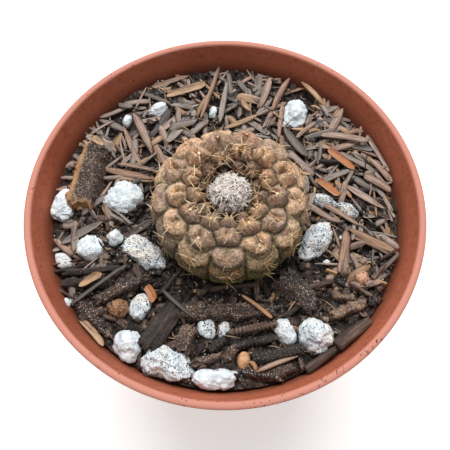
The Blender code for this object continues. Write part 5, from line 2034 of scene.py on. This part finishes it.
@dataclass
class Cactus:
    """The plant: skin, areoles, spines, dry debris in its crown, and the woolly bud."""

    ground: Ground
    equator: float = 67.0 * MM
    spine_lift: float = 0.5 * MM
    columns: int = 13 * 26
    rows: int = 226

    def __post_init__(self) -> None:
        """Sets out the meridian, the tubercles and the plant's middle."""
        self.meridian = Meridian()
        self.tubercles = Tubercles(self.meridian)
        self.middle = np.array([*self.ground.cactus, self.equator])
        self.skin_points = np.zeros((0, 3))

    def tints(self, flat: Array, points: Array, angle: Array, skin: Relief) -> dict[str, Array]:
        """Works out the marks for the colours of the skin.

        Args:
            flat: The points before their relief, from the plant's middle.
            points: The points.
            angle: Angle of each point round the plant.
            skin: The relief.

        Returns:
            The marks named level, rust, mauve and green.
        """
        height = (points[:, 2] - self.equator) / MM
        # Olive low to pink brown high, as the skin is, and a little paler at the back: painted light from
        # behind.
        level = blend(-5.0, 7.6, height) + 0.1 * blend(0.2, 1.0, np.sin(angle))
        in_front = blend(0.5, -1.0, np.sin(angle))
        low_right = blend(-0.5, -4.5, height) * blend(0.5, 0.95, np.cos(angle - math.radians(-66)))
        # Painted shade lowers the level on the front; painted highlight raises it in the middle of each
        # tubercle, and shade lowers it at its bounds.
        level = level - 0.34 * in_front * (1 - 0.5 * level) + 0.4 * (skin.inside - 0.72)
        tint = np.random.default_rng(606).uniform(0, 1, self.tubercles.count)[skin.owner]
        patch = blend(-0.35, 0.45, rough_noise(flat, 1.6 * MM, 614, 2) + 0.5 * skin.inside)
        spots = np.array(RUSTY_SPOTS)
        gap = VIEW.in_picture(points)[:, None] - spots[None, :, :2]
        ruddy = np.exp(-(gap**2).sum(-1) / spots[:, 2] ** 2).max(1)
        ruddy = np.maximum(0.75 * ruddy, 0.25 * (tint > 0.8))
        return {
            "level": np.clip(level, 0, 1),
            "rust": ruddy * patch * (1 - skin.crease),
            "mauve": (tint < 0.4) * blend(0.05, 0.5, skin.inside),
            "green": 0.8 * low_right * (0.25 + 0.75 * skin.inside),
        }

    def skin(self) -> None:
        """Draws the body and root on one closed grid of run and angle, and dresses it."""
        grid = ClosedGrid(self.rows, self.columns)
        end = self.tubercles.end
        run = np.interp(grid.share, (0, 0.04, 0.93, 1), (0, 3.2 * MM, end, self.meridian.run[-1]))
        angle = grid.angle + self.tubercles.rib_phase
        radius, height, outward, upward = self.meridian.at(run)
        flat = np.stack([radius * np.cos(angle), radius * np.sin(angle), height], -1)
        wander = np.stack([rough_noise(flat, 2.4 * MM, 608 + 5 * k, 2) for k in range(2)])
        on_skin = blend(4.6 * MM, 6.4 * MM, run) * (1 - blend(end - 1 * MM, end, run))
        swerve = 0.22 * MM * wander * on_skin
        skin = self.tubercles.relief(angle + swerve[0] / np.maximum(radius, 4 * MM), run + swerve[1])
        rough = 0.1 * rough_noise(flat, 1.3 * MM, 601) + 0.06 * value_noise(flat, 0.5 * MM, 605)
        relief = skin.rise + on_skin * rough * MM
        radius = np.where((grid.share == 0) | (grid.share == 1), 0, radius + relief * outward)
        height = height + relief * upward
        points = np.stack([radius * np.cos(angle), radius * np.sin(angle), height], -1) + self.middle
        # Painted shade: darker round the bud, reaching farther out behind it.
        towards_back = np.clip(np.sin(angle), 0, 1)
        crown = 1 - blend(5.2 * MM, 8.4 * MM, run - 2.4 * MM * towards_back + 0.7 * MM * wander[0])
        marks = self.tints(flat, points, angle, skin) | {"crease": skin.crease * on_skin, "crown": crown}
        surface = Surface(points, *grid.faces(), marks)
        surface.piece("cactus_skin", CactusSkin().make(), "cactus_skin", "cactus_body")
        self.skin_points = points[on_skin > 0.5]

    def plates_at(self, places: tuple[tuple[float, float], ...]) -> Array:
        """Numbers of the tubercles whose areoles the photograph shows nearest to the places given."""
        seen = VIEW.in_picture(self.areole_axes()[0])
        gap = np.linalg.norm(seen[None] - np.array(places)[:, None], axis=-1)
        return gap.argmin(1)

    def areole_axes(self) -> tuple[Array, Array, Array]:
        """Middle, outward normal and direction across, for the areole of every tubercle."""
        radius, height, outward, upward = self.meridian.at(self.tubercles.run)
        angle = self.tubercles.angle
        still = np.zeros_like(angle)
        radial = np.stack([np.cos(angle), np.sin(angle), still], -1)
        rise = np.stack([still, still, np.ones_like(angle)], -1)
        normal = radial * outward[:, None] + rise * upward[:, None]
        normal /= np.linalg.norm(normal, axis=1, keepdims=True)
        across = np.stack([-np.sin(angle), np.cos(angle), still], -1)
        stand = (0.78 * self.tubercles.height + self.tubercles.rib_height)[:, None]
        middle = radial * radius[:, None] + rise * height[:, None] + normal * stand
        return middle + self.middle, normal, across

    def areoles(self) -> None:
        """Draws a small felt pad on every tubercle: a flat ball whose points are pulled at random."""
        middle, normal, across = self.areole_axes()
        draw = np.random.default_rng(611)
        grid = ClosedGrid(6, 10)
        ball = grid.directions()
        count = len(middle)
        size = draw.uniform(0.22, 0.36, count)[:, None, None] * MM
        pull = draw.uniform(0.8, 1.25, (count, len(ball), 1))
        shapes = ball[None] * np.array([0.5, 1.0, 1.1]) * size * pull
        along = np.cross(normal, across)
        frames = np.stack([normal, across, along], -1)
        bright = draw.uniform(0.25, 0.8, count)
        pale = self.plates_at(CREAM_AREOLES)
        bright[pale] = 1.0
        size[pale] = 0.46 * MM
        marks = {"tone": per_point(bright, len(ball))}
        surface = Surface(strewn(shapes, frames, middle - 0.02 * MM * normal), *grid.faces(count), marks)
        surface.piece("areoles", AREOLE_SKIN.make(), "cactus_skin")

    def spines(self, each: int = 8) -> None:
        """Draws golden spines that spread flat from every areole and curve back to the skin.

        Args:
            each: How many spines an areole has.
        """
        middle, normal, across = self.areole_axes()
        draw = np.random.default_rng(621)
        count = len(middle) * each
        spread = np.tile(np.arange(each) * FULL_TURN / each, len(middle)) + draw.uniform(-0.4, 0.4, count)
        lean = np.radians(draw.uniform(52, 84, count))
        normal, across, roots = (per_point(values, each) for values in (normal, across, middle))
        along = np.cross(normal, across)
        sideways = across * np.cos(spread)[:, None] + along * np.sin(spread)[:, None]
        ways = normal * np.cos(lean)[:, None] + sideways * np.sin(lean)[:, None]
        length = draw.uniform(1.3, 3.0, count) * MM
        share = per_point(np.linspace(0, 1, len(self.tubercles.run)), each)
        keep = draw.uniform(0, 1, count) < np.interp(share, (0, 0.45, 0.7, 1), (0.95, 0.9, 0.5, 0.35))
        bend = draw.uniform(-0.22, 0.22, (count, 2))
        thick = draw.uniform(0.06, 0.1, count) * MM
        tone = 0.25 + draw.uniform(-0.2, 0.35, int(keep.sum()))
        fibres = Fibres(roots[keep], ways[keep], bend[keep], length[keep], thick[keep], tone)
        finish = SPINE_SKIN.make()
        fibres.surface(5, 5, 0.5).piece("golden_spines", finish, "cactus_skin")
        self.placed_spines(finish)

    def placed_spines(self, finish: Material) -> None:
        """Draws the long pale spines that stand out in the photograph, just off the skin.

        Each end is put on the skin's point that the camera sees there, which is the nearest to the
        camera of those within 1.5 units in the picture, and is lifted towards the camera.

        Args:
            finish: The spines' material.
        """
        seen = VIEW.in_picture(self.skin_points)
        reach = np.linalg.norm(self.skin_points - VIEW.place, axis=1)
        ends = []
        for spot in np.array(PLACED_SPINES).reshape(-1, 2):
            at_hand = np.linalg.norm(seen - spot, axis=1)
            ends.append(self.skin_points[np.where(at_hand < 1.5, reach, 1.0 + at_hand).argmin()])
        ends = np.array(ends)
        back = VIEW.place - ends
        ends += back / np.linalg.norm(back, axis=1, keepdims=True) * self.spine_lift
        ways = ends[1::2] - ends[0::2]
        count = len(ways)
        draw = np.random.default_rng(625)
        thick = draw.uniform(0.09, 0.13, count) * MM
        bend = draw.uniform(-0.08, 0.08, (count, 2))
        tone = 0.45 + draw.uniform(-0.1, 0.2, count)
        fibres = Fibres(ends[0::2], ways, bend, np.linalg.norm(ways, axis=1), thick, tone)
        fibres.surface(6, 6, 0.45).piece("pale_spines", finish, "cactus_skin")

    def debris(self, count: int = 520) -> None:
        """Strews dry curled hairs round the bud, in the dip of the crown.

        Args:
            count: How many hairs.
        """
        draw = np.random.default_rng(631)
        behind = draw.uniform(0, 1, count) < 0.5
        bearing = np.where(behind, draw.uniform(0.3, 2.9, count), draw.uniform(0, FULL_TURN, count))
        distance = draw.uniform(3.8, 7.4 + 0.9 * np.sin(bearing), count)
        height = np.interp(distance, (3.6, 5.0, 6.2, 7.4, 8.4), (2.4, 3.8, 5.8, 7.2, 7.9))
        height = height + draw.uniform(0, 0.8, count)
        roots = np.stack([distance * np.cos(bearing), distance * np.sin(bearing), height], -1) * MM
        ways = draw.normal(0, 1, (count, 3)) * (1, 1, 0.45)
        length = draw.uniform(0.8, 2.4, count) * MM
        bend = draw.uniform(-0.5, 0.5, (count, 2))
        thick = draw.uniform(0.04, 0.09, count) * MM
        tone = draw.uniform(0, 0.9, count) ** 1.6
        hairs = Fibres(roots + self.middle, ways, bend, length, thick, tone).surface(5, 4)
        hairs.piece("crown_debris", DEBRIS_SKIN.make(), "cactus_skin")

    def build(self) -> None:
        """Dresses the whole plant."""
        self.skin()
        self.areoles()
        self.spines()
        self.debris()
        Bud(self.middle).build()


@dataclass
class Bud:
    """The woolly bud: a tufted ball, coarse locks over it, and short hairs that stand off it.

    Its first field is the plant's middle at its widest, from which the bud's height is counted.
    """

    plant: Array
    radius: float = 4.0 * MM
    half_height: float = 2.95 * MM
    rise: float = 5.05 * MM
    tuft: float = 0.45 * MM
    tuft_wave: float = 0.35
    tuft_seed: int = 3
    locks: int = 1500
    hairs: int = 1600

    def tufted(self, ball: Array, share: float) -> Array:
        """Turns directions into points of the bud.

        The radius is scaled by 1, plus the source's tufts, plus a finer layer of them.

        Args:
            ball: The directions.
            share: Share of the radius wanted.

        Returns:
            The points.
        """
        tufts = value_noise(ball, self.tuft_wave, self.tuft_seed) * self.tuft / self.radius
        swell = 1 + tufts + 0.05 * rough_noise(ball, 0.16, 641, 2)
        half = np.array([self.radius, self.radius, self.half_height])
        return ball * swell[:, None] * half * share + self.plant + (0, 0, self.rise)

    def wool(self, count: int, length: Span, thick: Span, seed: int) -> Surface:
        """Draws curled wool over the bud, cream with dark flecks, and darker low in front as painted shade.

        Args:
            count: How many are drawn before those underneath are left out.
            length: Least and greatest length in millimetres.
            thick: Least and greatest radius in millimetres.
            seed: Seed of the draw.

        Returns:
            The wool's surface.
        """
        draw = np.random.default_rng(seed)
        out = draw.normal(0, 1, (count, 3))
        out /= np.linalg.norm(out, axis=1, keepdims=True)
        out = out[out[:, 2] > -0.6]
        count = len(out)
        ways = draw.normal(0, 0.8, (count, 3))
        ways = ways - (ways * out).sum(1, keepdims=True) * out + 0.16 * out
        lengths = draw.uniform(*length, count) * MM
        radii = draw.uniform(*thick, count) * MM
        bend = draw.uniform(-0.9, 0.9, (count, 2))
        in_front = blend(0.1, -0.9, out[:, 1] + 0.3 * out[:, 2])
        tone = 1.03 + 0.2 * rough_noise(out, 0.25, 645, 2) + draw.normal(0, 0.13, count)
        # Painted shade: the wool is darker low on the front.
        tone = tone - 0.28 * in_front * (out[:, 2] < 0.5)
        tone = np.where(draw.uniform(0, 1, count) < 0.12 + 0.12 * in_front, 0.02, tone)
        return Fibres(self.tufted(out, 0.92), ways, bend, lengths, radii, tone).surface(3, 4)

    def build(self) -> None:
        """Dresses the bud's core, its locks and its hairs."""
        finish = WOOL_SKIN.make()
        grid = ClosedGrid(60, 90)
        ball = grid.directions()
        # A little paler towards the top: painted light from above.
        pale = 0.42 + 0.3 * rough_noise(ball, 0.22, 642, 2) + 0.1 * ball[:, 2]
        core = Surface(self.tufted(ball, 0.91), *grid.faces(), {"tone": pale})
        core.piece("bud_core", finish, "bud_wool", "woolly_bud")
        locks = self.wool(self.locks, (0.45, 1.0), (0.1, 0.17), 643)
        locks.piece("bud_locks", finish, "bud_wool")
        hairs = self.wool(self.hairs, (0.4, 0.9), (0.04, 0.07), 646)
        hairs.piece("bud_wool", finish, "bud_wool")


@dataclass
class Studio:
    """A plain pale floor, soft light from above and behind, and the photograph's camera."""

    floor_size: float = 3.0
    floor_colour: Colour = (253, 253, 253)
    floor_roughness: float = 0.9
    floor_glow: float = 0.42
    sky_strength: float = 0.31
    lamp_place: tuple[float, float, float] = (-0.02, 0.3, 0.62)
    lamp_aim: float = 0.065
    lamp_size: float = 0.5
    lamp_power: float = 5.1
    nearest_seen: float = 5 * MM

    def floor(self) -> None:
        """Lays the floor, which isn't part of the object."""
        half = self.floor_size / 2
        mesh = bpy.data.meshes.new("floor")
        corners = [(-half, -half, 0), (half, -half, 0), (half, half, 0), (-half, half, 0)]
        mesh.from_pydata(corners, [], [(0, 1, 2, 3)])
        kit = NodeKit("pale_floor", self.floor_roughness)
        for name in ("Base Color", "Emission Color"):
            kit.shader.inputs[name].default_value = linear(*self.floor_colour)
        kit.shader.inputs["Emission Strength"].default_value = self.floor_glow
        mesh.materials.append(kit.material)
        new_object("floor", mesh)

    def lamp(self) -> None:
        """Hangs one square lamp that faces the top of the pot."""
        light = bpy.data.lights.new("key_light", "AREA")
        light.shape = "SQUARE"
        light.size = self.lamp_size
        light.energy = self.lamp_power
        obj = new_object("key_light", light)
        obj.location = self.lamp_place
        aim = np.array(self.lamp_place) - (0, 0, self.lamp_aim)
        flat = float(np.hypot(aim[0], aim[1]))
        obj.rotation_euler = (math.atan2(flat, aim[2]), 0, math.atan2(aim[0], -aim[1]))

    def camera(self) -> None:
        """Sets the photograph's camera."""
        data = bpy.data.cameras.new("photo_camera")
        data.lens = VIEW.lens
        data.sensor_width = VIEW.sensor
        data.clip_start = self.nearest_seen
        obj = new_object("photo_camera", data)
        obj.location = VIEW.place
        obj.rotation_euler = (math.pi / 2 - VIEW.tilt, 0, 0)
        bpy.context.scene.camera = obj

    def sky(self) -> None:
        """Gives the scene an even white sky, and colours shown as they are."""
        scene = bpy.context.scene
        scene.view_settings.view_transform = "Standard"
        scene.view_settings.look = "None"
        scene.world = bpy.data.worlds.new("soft_sky")
        scene.world.use_nodes = True
        sky = scene.world.node_tree.nodes["Background"]
        sky.inputs["Color"].default_value = (1.0, 1.0, 1.0, 1.0)
        sky.inputs["Strength"].default_value = self.sky_strength

    def build(self) -> None:
        """Sets the floor, the light and the camera."""
        self.floor()
        self.sky()
        self.lamp()
        self.camera()


def main() -> None:
    """Builds the object part by part, then its studio."""
    logging.basicConfig(level=logging.INFO, format="%(name)s %(message)s")
    pot = Pot()
    ground = Ground()
    pot.build()
    Plug(ground, pot).build()
    Bark(ground).build()
    lumps = np.array([(grain.x, grain.y, 0.42 * grain.length) for grain in PERLITE])
    Hulls(ground, pot).build(lumps)
    perlite = Grit(ground).build()
    Crumbs(ground).build(perlite)
    Cactus(ground).build()
    Studio().build()


if __name__ == "__main__":
    main()
